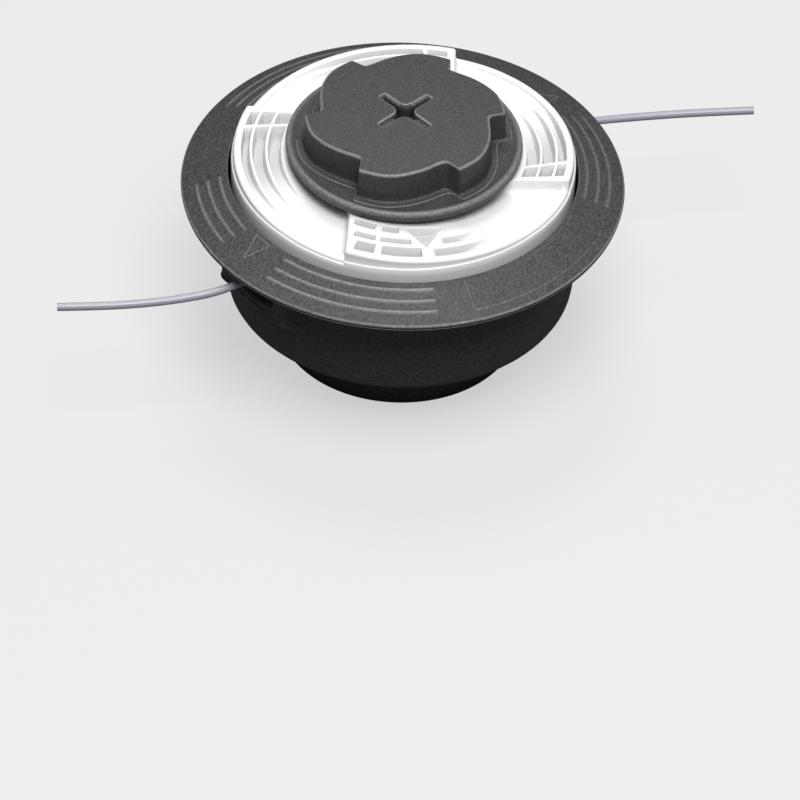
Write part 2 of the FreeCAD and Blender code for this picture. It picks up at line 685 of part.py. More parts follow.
def ring_cells():
    """Cells behind each step and the deep start of each groove, all down to one floor."""
    floor = dim("spool_cell_floor")
    top = dim("spool_high") + 2
    cuts = []
    for number, start in enumerate(STEP_ANGLES):
        if number == FRONT_RAMP:
            continue
        for inner, outer in ROWS:
            cuts.append(sector(inner, outer, start + CELL_START, start + CELL_END, floor, top, slant))
            cuts.append(sector(inner, outer, start + GROOVE_START, start + GROOVE_RISE + 0.1, floor, top, slant))
    for inner, outer, first, last in FRONT_CELLS:
        cuts.append(sector(inner, outer, first, last, floor, top))
    corners = [turned(angle, radius, 0, floor) for radius, angle in FRONT_TRIANGLE]
    triangle = Part.makePolygon(corners + corners[:1])
    cuts.append(Part.Face(triangle).extrude(Vector(0, 0, top - floor)))
    return cuts


def spool_lugs():
    """Four lugs under the bottom flange, which the floor cams catch."""
    lugs = []
    for number in range(4):
        angle = 90.0 * number
        lugs.append(sector(dim("lug_inner"), dim("lug_outer"), angle - 5, angle + 5,
                           dim("spool_bottom") - dim("lug_height"), dim("spool_bottom") + 0.5))
    return lugs


def cut_with(name, base, shapes):
    """The base with several shapes cut from it."""
    feature = doc.addObject("Part::Cut", name)
    feature.Base = base
    feature.Tool = solid_feature(name + "_tools", Part.makeCompound(shapes))
    return feature


def make_spool():
    body = new_body("spool_blank")
    revolve(body, "spool_form", spool_section())
    ramped = cut_with("spool_ramped", body, ring_ramps())
    celled = cut_with("spool_celled", ramped, ring_cells())
    grooved = cut_with("spool_grooved", celled, ring_hollows())
    fused = doc.addObject("Part::Fuse", "spool_fused")
    fused.Base = grooved
    fused.Tool = solid_feature("spool_lugs", Part.makeCompound(spool_lugs()))
    doc.recompute()
    part("spool", fused)


# Bump knob

def lobe_radius(angle):
    """Grip outline: six lobes with a steep flank and a long slope, as a short series in 6 times the angle."""
    six = math.radians(6 * angle)
    series = -0.64 * math.cos(six) + 1.79 * math.sin(six)
    series += -0.28 * math.cos(2 * six) + 0.59 * math.sin(2 * six)
    series += -0.25 * math.cos(3 * six) + 0.26 * math.sin(3 * six)
    return dim("knob_lobe_mean") + series


def make_knob():
    """Lobed grip on a round flange, hollow below, with a crossed recess in its crown."""
    # the grip stands turned from the line exits as the photographed one does
    turn = dim("knob_turn")
    points = [turned(angle + turn, lobe_radius(angle), 0) for angle in range(2, 362, 4)]
    curve = Part.BSplineCurve()
    curve.interpolate(points, PeriodicFlag=True)
    grip = Part.Face(Part.Wire([curve.toShape()])).extrude(Vector(0, 0, 14))
    grip.translate(Vector(0, 0, dim("knob_flange_top") - 1))
    edge = 24.0
    crown_radius = (edge ** 2 + dim("knob_crown") ** 2) / (2 * dim("knob_crown"))
    crown = Part.makeSphere(crown_radius)
    crown.translate(Vector(0, 0, dim("knob_edge_height") + dim("knob_crown") - crown_radius))
    grip_feature = solid_feature("grip", grip.common(crown))
    flange_body = new_body("flange_body")
    form = revolve(flange_body, "flange_form", [
        ("0", "dims.spool_plate_top + 0.3"),
        ("dims.knob_skirt_radius", "dims.spool_plate_top + 0.3"),
        ("dims.knob_skirt_radius", "dims.knob_flange_low"),
        ("dims.knob_flange_radius", "dims.knob_flange_low"),
        ("dims.knob_flange_radius", "dims.knob_flange_top - 0.3"),
        ("dims.knob_flange_radius - 4", "dims.knob_flange_top"),
        ("0", "dims.knob_flange_top + 2")])
    rim = [(dim("knob_flange_radius"), dim("knob_flange_low")),
           (dim("knob_flange_radius"), dim("knob_flange_top") - 0.3)]
    fillet(flange_body, "flange_rim", form, rim, dim("knob_flange_round"))
    whole = doc.addObject("Part::Fuse", "knob_whole")
    whole.Base = flange_body
    whole.Tool = grip_feature
    arms = []
    for number, angle in enumerate((45.0 + turn, 135.0 + turn)):
        arm = doc.addObject("Part::Box", "cross_arm_%d" % number)
        arm.setExpression("Length", "dims.knob_cross_span")
        arm.setExpression("Width", "dims.knob_cross_width")
        arm.Height = 10.0
        low = dim("knob_edge_height") + dim("knob_crown") - dim("knob_cross_depth")
        corner = turned(angle, -dim("knob_cross_span") / 2, -dim("knob_cross_width") / 2, low)
        arm.Placement = Placement(corner, Rotation(Vector(0, 0, 1), angle))
        arms.append(arm)
    cross = doc.addObject("Part::Fuse", "cross")
    cross.Base = arms[0]
    cross.Tool = arms[1]
    cavity = new_body("cavity_body")
    revolve(cavity, "cavity_form", [
        ("0", "dims.spool_plate_top"),
        ("dims.spigot_radius + 0.03", "dims.spool_plate_top"),
        ("dims.spigot_radius + 0.03", "dims.knob_cavity_top - 4"),
        ("dims.spigot_radius - 2.4", "dims.knob_cavity_top"),
        ("0", "dims.knob_cavity_top")])
    hollow = doc.addObject("Part::Cut", "knob_hollow")
    hollow.Base = whole
    hollow.Tool = cavity
    knob = doc.addObject("Part::Cut", "knob_cut")
    knob.Base = hollow
    knob.Tool = cross
    doc.recompute()
    part("bump_knob", knob)


# Trimmer line

def make_windings():
    """The line wound in each chamber, as one solid of the turns' outer shape."""
    low = dim("spool_bottom") + dim("flange_thickness")
    middle = (low + dim("spool_plate_low")) / 2.0
    half = dim("flange_thickness") / 2.0
    for label, bottom, top in (("lower", low, middle - half), ("upper", middle + half, dim("spool_plate_low"))):
        body = new_body("winding_body_" + label)
        revolve(body, "winding_form_" + label, [
            ("dims.spool_core_radius + dims.winding_gap", "%g + dims.winding_gap" % bottom),
            ("dims.winding_radius - dims.winding_shoulder", "%g + dims.winding_gap" % bottom),
            ("dims.winding_radius", "%g" % (bottom + 0.3 * (top - bottom))),
            ("dims.winding_radius", "%g" % (bottom + 0.7 * (top - bottom))),
            ("dims.winding_radius - dims.winding_shoulder", "%g - dims.winding_gap" % top),
            ("dims.spool_core_radius + dims.winding_gap", "%g - dims.winding_gap" % top)])
        part("line_winding_" + label, body)


def corner_radius(before, point, after):
    """Arc radius at a corner of a line's route: 0.45 of the shorter run over tan of half the turn."""
    first = point - before
    second = after - point
    turn = first.getAngle(second)
    return 0.45 * min(first.Length, second.Length) / math.tan(turn / 2.0), turn


def line_tube(name, route):
    """A round line along straight runs joined by tangent arcs."""
    points = [Vector(*point) for point in route]
    edges = []
    start = points[0]
    radii = []
    for before, point, after in zip(points, points[1:], points[2:]):
        radius, turn = corner_radius(before, point, after)
        radii.append(radius)
        reach = radius * math.tan(turn / 2.0)
        inward = (before - point).normalize()
        outward = (after - point).normalize()
        first = point + inward * reach
        last = point + outward * reach
        bisector = (inward + outward).normalize()
        centre = point + bisector * (radius / math.cos(turn / 2.0))
        middle = centre - bisector * radius
        edges.append(Part.LineSegment(start, first).toShape())
        edges.append(Part.Arc(first, middle, last).toShape())
        start = last
    edges.append(Part.LineSegment(start, points[-1]).toShape())
    path = Part.Wire(edges)
    heading = (points[1] - points[0]).normalize()
    section = Part.Wire([Part.Circle(points[0], heading, dim("line_diameter") / 2.0).toShape()])
    tube = path.makePipeShell([section], True, False)
    expected = math.pi * (dim("line_diameter") / 2.0) ** 2 * path.Length
    print("%s: length %.1f, arc radii %s, volume %.1f of %.1f" %
          (name, path.Length, ["%.1f" % radius for radius in radii], tube.Volume, expected))
    part(name, solid_feature(name + "_tube", tube))


# Routes of the free line ends, from the mouth of each eyelet to the cut end
LINE_END_RIGHT = ((46.2, 0.0, 40.1), (55.0, -3.4, 39.7), (64.5, -8.2, 39.3), (74.0, -13.6, 39.1),
                  (83.5, -19.5, 39.0), (93.0, -26.0, 39.0))
LINE_END_LEFT = ((-46.2, 0.0, 40.1), (-55.0, 1.2, 39.6), (-64.0, 5.0, 39.2), (-73.0, 9.8, 39.1),
                 (-81.6, 15.4, 39.0), (-90.2, 21.8, 39.0))
# Routes inside the housing, from the winding to the mouth of the eyelet
LEAD_UPPER = ((26.6, -22.2, 39.4), (31.6, -15.6, 39.7), (36.2, -8.4, 39.9), (40.9, -0.2, 40.1), (46.2, 0.0, 40.1))
LEAD_LOWER = ((-26.6, 22.2, 28.2), (-33.4, 18.0, 28.5), (-37.6, 12.4, 31.2), (-40.0, 6.6, 36.2),
              (-41.0, 0.4, 40.0), (-46.2, 0.0, 40.1))


def make_lines():
    line_tube("line_end_right", LINE_END_RIGHT)
    line_tube("line_end_left", LINE_END_LEFT)
    line_tube("line_lead_upper", LEAD_UPPER)
    line_tube("line_lead_lower", LEAD_LOWER)


def check_document():
    """Stop before anything is written if an object failed or a solid isn't whole."""
    doc.recompute()
    for item in doc.Objects:
        if "Invalid" in item.State or "Error" in item.State:
            raise RuntimeError("%s failed: %s" % (item.Name, item.State))
    for feature in PARTS:
        shape = feature.Shape
        if shape.isNull() or not shape.isValid() or not shape.Solids:
            raise RuntimeError(feature.Label + " has no valid solid")


def export_parts():
    os.makedirs("parts", exist_ok=True)
    for feature in PARTS:
        box = feature.Shape.BoundBox
        print("%s: solids %d, volume %.1f, z %.2f to %.2f, radius %.2f" %
              (feature.Label, len(feature.Shape.Solids), feature.Shape.Volume, box.ZMin, box.ZMax, box.XMax))
        feature.Shape.exportStep("parts/%s.step" % feature.Label)


make_housing()
make_drive_hub()
make_threaded_insert()
make_retaining_bolt()
make_bolt_washer()
make_retaining_plate()
make_eyelets()
make_spring()
make_spring_washer()
make_spool()
make_knob()
make_windings()
make_lines()
check_document()
export_parts()
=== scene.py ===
"""Looks of a bump feed trimmer head.

Lengths in the functions are in millimetres and angles in degrees about the spin axis. Height is above the
rim of the collar, on which the head stands. The two line exits are on the X axis.
"""

import math

import bpy
import numpy as np
from mathutils import Matrix, Vector


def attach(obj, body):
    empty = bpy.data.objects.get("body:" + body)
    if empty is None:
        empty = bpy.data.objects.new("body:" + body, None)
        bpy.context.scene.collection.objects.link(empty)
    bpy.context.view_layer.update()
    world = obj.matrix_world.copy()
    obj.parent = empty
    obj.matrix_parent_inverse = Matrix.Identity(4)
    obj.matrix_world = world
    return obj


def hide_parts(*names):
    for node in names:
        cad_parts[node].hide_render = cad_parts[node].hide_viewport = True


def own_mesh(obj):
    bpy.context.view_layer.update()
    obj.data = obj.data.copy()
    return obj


MM = 0.001

# The photograph's camera
IMAGE_WIDTH = 800.0
SENSOR = 36.0
CAMERA_AZIMUTH = -41.0
CAMERA_ELEVATION = 39.84
CAMERA_ROLL = -1.95
CAMERA_DISTANCE = 1.651
CAMERA_FOCAL_PIXELS = 6725.0
CAMERA_AIM_PIXEL = (402.86, 181.05)

# Heights and radii shared by several pieces
AIM_HEIGHT = 46.6
BRIM_EDGE = 46.05
FLOOR = 14.0
FLOOR_TOP = 16.5
SPOOL_RADIUS = 42.2
STEP_RADIUS = 41.7
STEP_HIGH = 57.0
STEP_LOW = 54.0
KNOB_EDGE_HEIGHT = 67.9
KNOB_CROWN = 1.1
KNOB_DOME = 24.0
VIEW_TURN = 41.0
GRAIN_HEIGHT = 0.25 * MM

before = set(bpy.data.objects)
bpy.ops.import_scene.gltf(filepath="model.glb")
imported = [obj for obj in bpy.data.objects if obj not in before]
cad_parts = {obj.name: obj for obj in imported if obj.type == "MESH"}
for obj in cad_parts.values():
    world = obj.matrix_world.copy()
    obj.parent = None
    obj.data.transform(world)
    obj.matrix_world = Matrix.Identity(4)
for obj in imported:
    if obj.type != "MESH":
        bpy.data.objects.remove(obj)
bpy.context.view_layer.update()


# Small helpers for curves and masks


def smooth(value, low, high):
    """Smooth step: 0 below low, 1 above high, and 3t^2 - 2t^3 between them."""
    t = np.clip((value - low) / (high - low), 0.0, 1.0)
    return t * t * (3.0 - 2.0 * t)


def inside(value, low, high, edge):
    """1 between low and high, falling to 0 over a width of edge outside of each end."""
    return smooth(value, low - edge, low) * (1.0 - smooth(value, high, high + edge))


def ridge(value, centre, width):
    """A round-topped ridge across value: the positive half of a cosine, as wide as width."""
    t = np.clip((value - centre) / (0.5 * width), -1.0, 1.0)
    return np.cos(0.5 * np.pi * t) ** 2


def wrapped(angle):
    """The angle brought between -180 and 180."""
    return (angle + 180.0) % 360.0 - 180.0


def gathered(start, end, spacing, marks, near=0.06, count=5, reach=0.5):
    """Samples from start to end at even spacing, with count more on each side of every mark."""
    base = np.linspace(start, end, int(round((end - start) / spacing)) + 1)
    steps = near + (reach - near) * np.linspace(0.0, 1.0, count) ** 1.5
    extra = np.concatenate([np.concatenate([mark - steps, [mark], mark + steps]) for mark in marks]) if marks else []
    values = np.unique(np.round(np.concatenate([base, extra]), 4))
    values = values[(values >= start) & (values <= end)]
    keep = np.concatenate([[True], np.diff(values) > near * 0.5])
    return values[keep]


def rounded(corners):
    """A path through (radius, height, round, pieces) corners, as (radius, height, rub) points.

    Each corner is an arc that is tangent to both its edges, and the edge after it is cut into pieces. The third value
    is a painted highlight: it rises to 1 in the middle of each small arc on an outer corner, and is 0 elsewhere.
    """
    corners = np.array(corners, float)
    before, after = np.roll(corners, 1, axis=0), np.roll(corners, -1, axis=0)
    area = np.sum(corners[:, 0] * after[:, 1] - after[:, 0] * corners[:, 1])
    arcs = []
    for start, point, end in zip(before, corners, after):
        round_size = point[2]
        if round_size <= 0.0:
            arcs.append(np.array([[point[0], point[1], 0.0]]))
            continue
        first = (start[:2] - point[:2]) / np.linalg.norm(start[:2] - point[:2])
        last = (end[:2] - point[:2]) / np.linalg.norm(end[:2] - point[:2])
        half = 0.5 * math.acos(float(np.clip(first @ last, -0.9999, 0.9999)))
        centre = point[:2] + (first + last) / np.linalg.norm(first + last) * round_size / math.sin(half)
        arm = point[:2] + first * round_size / math.tan(half) - centre
        turn = math.pi - 2.0 * half
        cross = first[0] * last[1] - first[1] * last[0]
        share = np.linspace(0.0, 1.0, max(4, int(turn / 0.45) + 2))
        angles = -math.copysign(turn, cross) * share
        # Small arcs on outer corners get a painted highlight.
        painted_light_amount = float(cross * area < 0.0 and round_size <= 1.0)
        arcs.append(np.stack([arm[0] * np.cos(angles) - arm[1] * np.sin(angles) + centre[0],
                              arm[0] * np.sin(angles) + arm[1] * np.cos(angles) + centre[1],
                              painted_light_amount * np.sin(np.pi * share)], axis=1))
    path = []
    for arc, following, pieces in zip(arcs, arcs[1:] + arcs[:1], corners[:, 3]):
        path.append(arc)
        share = np.linspace(0.0, 1.0, int(pieces) + 1)[1:-1, None]
        path.append((arc[-1] + (following[0] - arc[-1]) * share) * (1.0, 1.0, 0.0))
    return np.concatenate(path)


# Meshes


def grid_faces(rows, columns, closed_rows, closed_columns, first=0):
    """Quads over a grid of numbered points, rows by columns, closed round in either direction."""
    index = first + np.arange(rows * columns).reshape(rows, columns)
    if closed_rows:
        index = np.concatenate([index, index[:1]])
    if closed_columns:
        index = np.concatenate([index, index[:, :1]], axis=1)
    return np.stack([index[:-1, :-1], index[:-1, 1:], index[1:, 1:], index[1:, :-1]], axis=-1).reshape(-1, 4)


def ring_faces(inner, inner_angle, outer, outer_angle):
    """Triangles between two rings of numbered points with different counts, both in order of their angle.

    Each edge of either ring makes a triangle with the point that the other ring has reached by that edge's end.
    """
    to_outer = np.maximum(np.searchsorted(outer_angle, np.append(inner_angle[1:], 720.0), side="right") - 1, 0)
    to_inner = np.maximum(np.searchsorted(inner_angle, np.append(outer_angle[1:], 720.0), side="left") - 1, 0)
    to_inner[-1] = 0
    from_inner = np.stack([inner, outer[to_outer], np.roll(inner, -1)], axis=-1)
    from_outer = np.stack([outer, np.roll(outer, -1), inner[to_inner]], axis=-1)
    return np.concatenate([from_inner, from_outer])


def new_mesh(name, points, faces, painted_light_and_shade=None):
    """A mesh of numpy points in millimetres and arrays of quads or triangles, with smooth faces.

    The last argument gives a number for each point, kept as a point attribute: a painted highlight above 0 on
    edges, and painted shade below 0 down in a hollow.
    """
    mesh = bpy.data.meshes.new(name)
    mesh.vertices.add(len(points))
    mesh.vertices.foreach_set("co", (np.asarray(points, float) * MM).ravel())
    corners = np.concatenate([part.ravel() for part in faces]).astype(np.int32)
    sizes = np.concatenate([np.full(len(part), part.shape[1]) for part in faces])
    mesh.loops.add(len(corners))
    mesh.loops.foreach_set("vertex_index", corners)
    mesh.polygons.add(len(sizes))
    mesh.polygons.foreach_set("loop_start", (np.cumsum(sizes) - sizes).astype(np.int32))
    # The point attribute holds painted highlight and painted shade for the shader.
    if painted_light_and_shade is not None:
        layer = mesh.attributes.new("painted_light_and_shade", "FLOAT", "POINT")
        layer.data.foreach_set("value", np.asarray(painted_light_and_shade, np.float32).ravel())
    mesh.update(calc_edges=True)
    mesh.validate()
    mesh.polygons.foreach_set("use_smooth", np.ones(len(mesh.polygons), bool))
    piece = bpy.data.objects.new(name, mesh)
    bpy.context.collection.objects.link(piece)
    return piece


def polar(radius, angle, height):
    """Points at a radius, an angle about the spin axis and a height."""
    turn = np.radians(angle)
    return np.stack(np.broadcast_arrays(radius * np.cos(turn), radius * np.sin(turn), height), axis=-1)


def turned(points, angle):
    """Points turned about the spin axis."""
    turn = np.radians(angle)
    x = points[..., 0] * np.cos(turn) - points[..., 1] * np.sin(turn)
    y = points[..., 0] * np.sin(turn) + points[..., 1] * np.cos(turn)
    return np.stack([x, y, points[..., 2]], axis=-1)


def end_fans(first_ring, last_ring, pole):
    """Triangles that close two rings of numbered points: one round pole, the other round the number after it."""
    return [np.stack([ring, np.roll(ring, -1), np.full(len(ring), centre)], axis=-1)
            for ring, centre in ((first_ring, pole), (last_ring, pole + 1))]


def turned_piece(name, section, angles, shape=None):
    """A closed section of (radius, height, painted light) points carried round the spin axis, and moved there by
    shape.
    """
    columns = len(angles)
    angle = np.repeat(angles[None, :], len(section), axis=0)
    radius, height, painted_light_and_shade = (np.repeat(section[:, part:part + 1], columns, axis=1) for part in range(3))
    if shape is not None:
        radius, height, painted_light_and_shade = shape(radius, height, painted_light_and_shade, angle)
    points = polar(radius, angle, height)[::-1]
    faces = grid_faces(len(section), columns, True, True)
    return new_mesh(name, points.reshape(-1, 3), [faces], painted_light_and_shade[::-1])


def full_turn(columns):
    """Evenly spaced angles round the spin axis."""
    return np.linspace(0.0, 360.0, columns, endpoint=False)


def boxes(name, size, place, turns, bevel):
    """Equal plain blocks with softened edges, each centred at one place and then turned about the spin axis."""
    corners = np.array([(x, y, z) for z in (-0.5, 0.5) for y in (-0.5, 0.5) for x in (-0.5, 0.5)])
    points = turned(np.repeat((corners * size + place)[None], len(turns), axis=0), turns[:, None])
    faces = np.array([(0, 2, 3, 1), (4, 5, 7, 6), (0, 1, 5, 4), (2, 6, 7, 3), (0, 4, 6, 2), (1, 3, 7, 5)])
    quads = (faces[None] + 8 * np.arange(len(points))[:, None, None]).reshape(-1, 4)
    piece = new_mesh(name, points.reshape(-1, 3), [quads])
    piece.data.polygons.foreach_set("use_smooth", np.zeros(len(quads), bool))
    softened = piece.modifiers.new("softened_edges", "BEVEL")
    softened.width = bevel * MM
    softened.segments = 2
    return piece


# Materials


def new_material(name, colour, roughness, metallic=0.0):
    """One colour and one gloss all over, for the groups below to vary."""
    material = bpy.data.materials.new(name)
    material.use_nodes = True
    shader = material.node_tree.nodes["Principled BSDF"]
    shader.inputs["Base Color"].default_value = (*colour, 1.0)
    shader.inputs["Roughness"].default_value = roughness
    shader.inputs["Metallic"].default_value = metallic
    return material


def new_group(name, inputs, outputs):
    """A node group, its entry's outputs and its exit's inputs. A tuple is the default of a colour input."""
    group = bpy.data.node_groups.new(name, "ShaderNodeTree")
    for label, value in inputs.items():
        kind = "NodeSocketColor" if isinstance(value, tuple) else "NodeSocketFloat"
        group.interface.new_socket(label, in_out="INPUT", socket_type=kind).default_value = value
    for label, kind in outputs.items():
        group.interface.new_socket(label, in_out="OUTPUT", socket_type=kind)
    return group, group.nodes.new("NodeGroupInput").outputs, group.nodes.new("NodeGroupOutput").inputs


def noise(group, scale, detail):
    """A noise on Object coordinates."""
    place = group.nodes.new("ShaderNodeTexCoord")
    texture = group.nodes.new("ShaderNodeTexNoise")
    texture.inputs["Scale"].default_value = scale
    texture.inputs["Detail"].default_value = detail
    group.links.new(place.outputs["Object"], texture.inputs["Vector"])
    return texture


def spread(group, value, low, high):
    """A value stretched so that low to high becomes 0 to 1."""
    node = group.nodes.new("ShaderNodeMapRange")
    node.inputs["From Min"].default_value = low
    node.inputs["From Max"].default_value = high
    group.links.new(value, node.inputs["Value"])
    return node


def mixed(group, share, first, second, kind="RGBA", blend="MIX"):
    """The first value mixed with the second by a share."""
    node = group.nodes.new("ShaderNodeMix")
    node.data_type = kind
    node.blend_type = blend
    for value, label in ((share, "Factor"), (first, "A"), (second, "B")):
        group.links.new(value, node.inputs[label])
    return node.outputs["Result"]


def clamped_product(group, value):
    """A product held between 0 and 1, whose second factor is still to be given."""
    node = group.nodes.new("ShaderNodeMath")
    node.operation = "MULTIPLY"
    node.use_clamp = True
    group.links.new(value, node.inputs[0])
    return node


def moulded_grain_group():
    """Shared effect: the fine spark texture of moulded plastic.

    A fine noise on Object coordinates gives the height of the grain, and its high spots are paler than the ground
    colour. A coarser noise makes the gloss drift.
    """
    group, entry, result = new_group("moulded_grain", {
        "Ground": (0.05, 0.05, 0.05, 1.0), "Speckle": (0.1, 0.1, 0.1, 1.0), "Grain Size": 2600.0,
        "Low Gloss": 0.6, "High Gloss": 0.4, "Depth": 0.3},
        {"Color": "NodeSocketColor", "Roughness": "NodeSocketFloat", "Normal": "NodeSocketVector"})
    links = group.links
    fine = noise(group, 2600.0, 3.0)
    fine.inputs["Roughness"].default_value = 0.7
    links.new(entry["Grain Size"], fine.inputs["Scale"])
    spots = spread(group, fine.outputs["Fac"], 0.36, 0.66)
    links.new(mixed(group, spots.outputs["Result"], entry["Ground"], entry["Speckle"]), result["Color"])
    gloss = spread(group, noise(group, 60.0, 4.0).outputs["Fac"], 0.35, 0.65)
    links.new(entry["Low Gloss"], gloss.inputs["To Min"])
    links.new(entry["High Gloss"], gloss.inputs["To Max"])
    links.new(gloss.outputs["Result"], result["Roughness"])
    bump = group.nodes.new("ShaderNodeBump")
    bump.inputs["Distance"].default_value = GRAIN_HEIGHT
    links.new(fine.outputs["Fac"], bump.inputs["Height"])
    links.new(entry["Depth"], bump.inputs["Strength"])
    links.new(bump.outputs["Normal"], result["Normal"])
    return group


def painted_light_group():
    """Shared effect: painted highlights on edges and painted shade in hollows.

    The point attribute paints a highlight, lighter in colour and glossier, where it is above 0, broken up by a noise
    on Object coordinates, and paints shade, darker in colour, where it is below 0.
    """
    group, entry, result = new_group("painted_light_surface", {
        "Color": (0.05, 0.05, 0.05, 1.0), "Roughness": 0.5, "Painted Highlight Color": (0.1, 0.1, 0.1, 1.0),
        "Edge Gloss": 0.35, "Painted Shade Tone": (0.5, 0.5, 0.5, 1.0)},
        {"Color": "NodeSocketColor", "Roughness": "NodeSocketFloat"})
    links = group.links
    # The painted highlight and painted shade come from the point attribute.
    mark = group.nodes.new("ShaderNodeAttribute")
    mark.attribute_name = "painted_light_and_shade"
    breaks = spread(group, noise(group, 1400.0, 2.0).outputs["Fac"], 0.35, 0.6)
    breaks.inputs["To Min"].default_value = 0.55
    # Share of painted highlight: the positive part of the attribute, broken up by noise.
    painted_light_amount = clamped_product(group, mark.outputs["Fac"])
    links.new(breaks.outputs["Result"], painted_light_amount.inputs[1])
    # Share of painted shade: the negative part of the attribute.
    hollow = clamped_product(group, mark.outputs["Fac"])
    hollow.inputs[1].default_value = -1.0
    edge = mixed(group, painted_light_amount.outputs["Value"], entry["Color"], entry["Painted Highlight Color"])
    shade = mixed(group, hollow.outputs["Value"], edge, entry["Painted Shade Tone"], blend="MULTIPLY")
    links.new(shade, result["Color"])
    gloss = mixed(group, painted_light_amount.outputs["Value"], entry["Roughness"], entry["Edge Gloss"], kind="FLOAT")
    links.new(gloss, result["Roughness"])
    return group


def moulded_material(name, grain_values, painted_light_values):
    """A moulded plastic: the shared grain gives its colour, gloss and normal, which painted highlights, glossier
    edges and painted shade then change.
    """
    material = new_material(name, grain_values["Ground"], 0.5)
    nodes, links = material.node_tree.nodes, material.node_tree.links
    grain = nodes.new("ShaderNodeGroup")
    grain.node_tree = grain_group
    painted_light_node = nodes.new("ShaderNodeGroup")
    painted_light_node.node_tree = painted_light_surface
    for node, values in ((grain, grain_values), (painted_light_node, painted_light_values)):
        for socket, value in values.items():
            node.inputs[socket].default_value = (*value, 1.0) if isinstance(value, tuple) else value
    shader = nodes["Principled BSDF"]
    links.new(grain.outputs["Color"], painted_light_node.inputs["Color"])
    links.new(grain.outputs["Roughness"], painted_light_node.inputs["Roughness"])
    links.new(painted_light_node.outputs["Color"], shader.inputs["Base Color"])
    links.new(painted_light_node.outputs["Roughness"], shader.inputs["Roughness"])
    links.new(grain.outputs["Normal"], shader.inputs["Normal"])
    return material


grain_group = moulded_grain_group()
painted_light_surface = painted_light_group()
# Painted highlight colour for edges, the edges' real gloss, and the painted shade tone for hollows.
CHARCOAL_PAINTED_LIGHT = {"Painted Highlight Color": (0.27, 0.27, 0.275), "Edge Gloss": 0.30, "Painted Shade Tone": (0.25, 0.25, 0.25)}
charcoal = moulded_material("charcoal_nylon", {
    "Ground": (0.025, 0.025, 0.028), "Speckle": (0.078, 0.078, 0.082), "Grain Size": 1350.0,
    "Low Gloss": 0.55, "High Gloss": 0.45, "Depth": 1.0}, CHARCOAL_PAINTED_LIGHT)
knob_charcoal = moulded_material("charcoal_knob_nylon", {
    "Ground": (0.029, 0.029, 0.032), "Speckle": (0.076, 0.076, 0.080), "Grain Size": 1900.0,
    "Low Gloss": 0.54, "High Gloss": 0.46, "Depth": 0.8}, CHARCOAL_PAINTED_LIGHT)
# On the white, the painted highlight is faint, and painted shade darkens the grip ring's cells and grooves.
white = moulded_material("white_nylon", {
    "Ground": (0.80, 0.80, 0.785), "Speckle": (0.82, 0.82, 0.81), "Grain Size": 900.0,
    "Low Gloss": 0.44, "High Gloss": 0.36, "Depth": 0.05},
    {"Painted Highlight Color": (0.84, 0.84, 0.83), "Edge Gloss": 0.3, "Painted Shade Tone": (0.60, 0.615, 0.63)})
steel = new_material("zinc_plated_steel", (0.56, 0.56, 0.58), 0.34, 1.0)
spring_wire = new_material("spring_steel", (0.30, 0.29, 0.28), 0.38, 1.0)
line_nylon = new_material("pale_nylon_line", (0.36, 0.36, 0.41), 0.28)


def finish_node(name, material):
    """Give a CAD node its material."""
    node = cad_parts[name]
    node.data.materials.clear()
    node.data.materials.append(material)


# Housing: brim, bowl, floor, collar and inner ring in one turned skin


FACET_ANGLES = (49.0, 131.0, 229.0, 311.0)
FACET_START, FACET_TILT = 33.0, 9.0
# Raised marks on the brim. Angles are those of the view: radius and lag of each arc, and the plate's two ends
BRIM_ARCS = ((45.2, 0.9), (48.1, 0.4), (50.85, 0.0))
PLATE_ENDS = (291.0, 339.0)
SIGN_ANGLES = (221.0, 41.0)
SIGN_TIP = 50.2
EXIT_ANGLES = (0.0, 180.0)
# Guards round the line exits: outline of the posts, their height, and the arch between them
GUARD_BACK, GUARD_REACH, GUARD_HALF = 41.1, 47.6, 15.4
GUARD_FOOT, GUARD_TOP, GUARD_RIM = 32.1, 48.0, 0.7
ARCH_FOOT, ARCH_HALF = 34.7, 8.0


def local(radius, angle, towards):
    """Coordinates along and across a direction in the plane of the brim."""
    turn = np.radians(angle - towards)
    return radius * np.cos(turn), radius * np.sin(turn)


def brim_marks(radius, angle):
    """Heights and painted highlight of the raised marks on the brim.

    There are three arcs in each quarter, fainter away from the front, a bare raised plate, and a triangle by each
    line exit.
    """
    seen = (angle + VIEW_TURN) % 360.0
    arcs = np.zeros_like(radius)
    for centre, lag in BRIM_ARCS:
        line = ridge(radius, centre, 1.25)
        for strength, place, start, end in ((1.0, seen, 231.6 + lag, 280.0), (0.6, seen, 187.0, 211.5 + lag),
                                            (0.4, wrapped(seen), -10.0, 30.0), (0.6, seen, 100.0, 150.0)):
            arcs = np.maximum(arcs, strength * line * inside(place, start, end, 1.2))
    plate = inside(radius, 44.3, 51.8, 0.3) * inside(seen, *PLATE_ENDS, 0.35)
    border = 4.0 * plate * (1.0 - plate)
    signs = np.zeros_like(radius)
    for middle in SIGN_ANGLES:
        along, side = local(radius, seen, middle)
        legs = ridge(np.abs(side) - (SIGN_TIP - along) * 0.42, 0.0, 0.55) * inside(along, 43.9, SIGN_TIP, 0.2)
        base = ridge(along, 44.1, 0.55) * (np.abs(side) < 2.7)
        signs = np.maximum(signs, np.maximum(legs, base))
    height = 0.40 * arcs + 0.14 * plate + 0.12 * signs
    # The arcs, the plate's border and the signs get a painted highlight.
    return height, np.clip(arcs + 0.4 * border + 0.55 * signs, 0.0, 1.0)


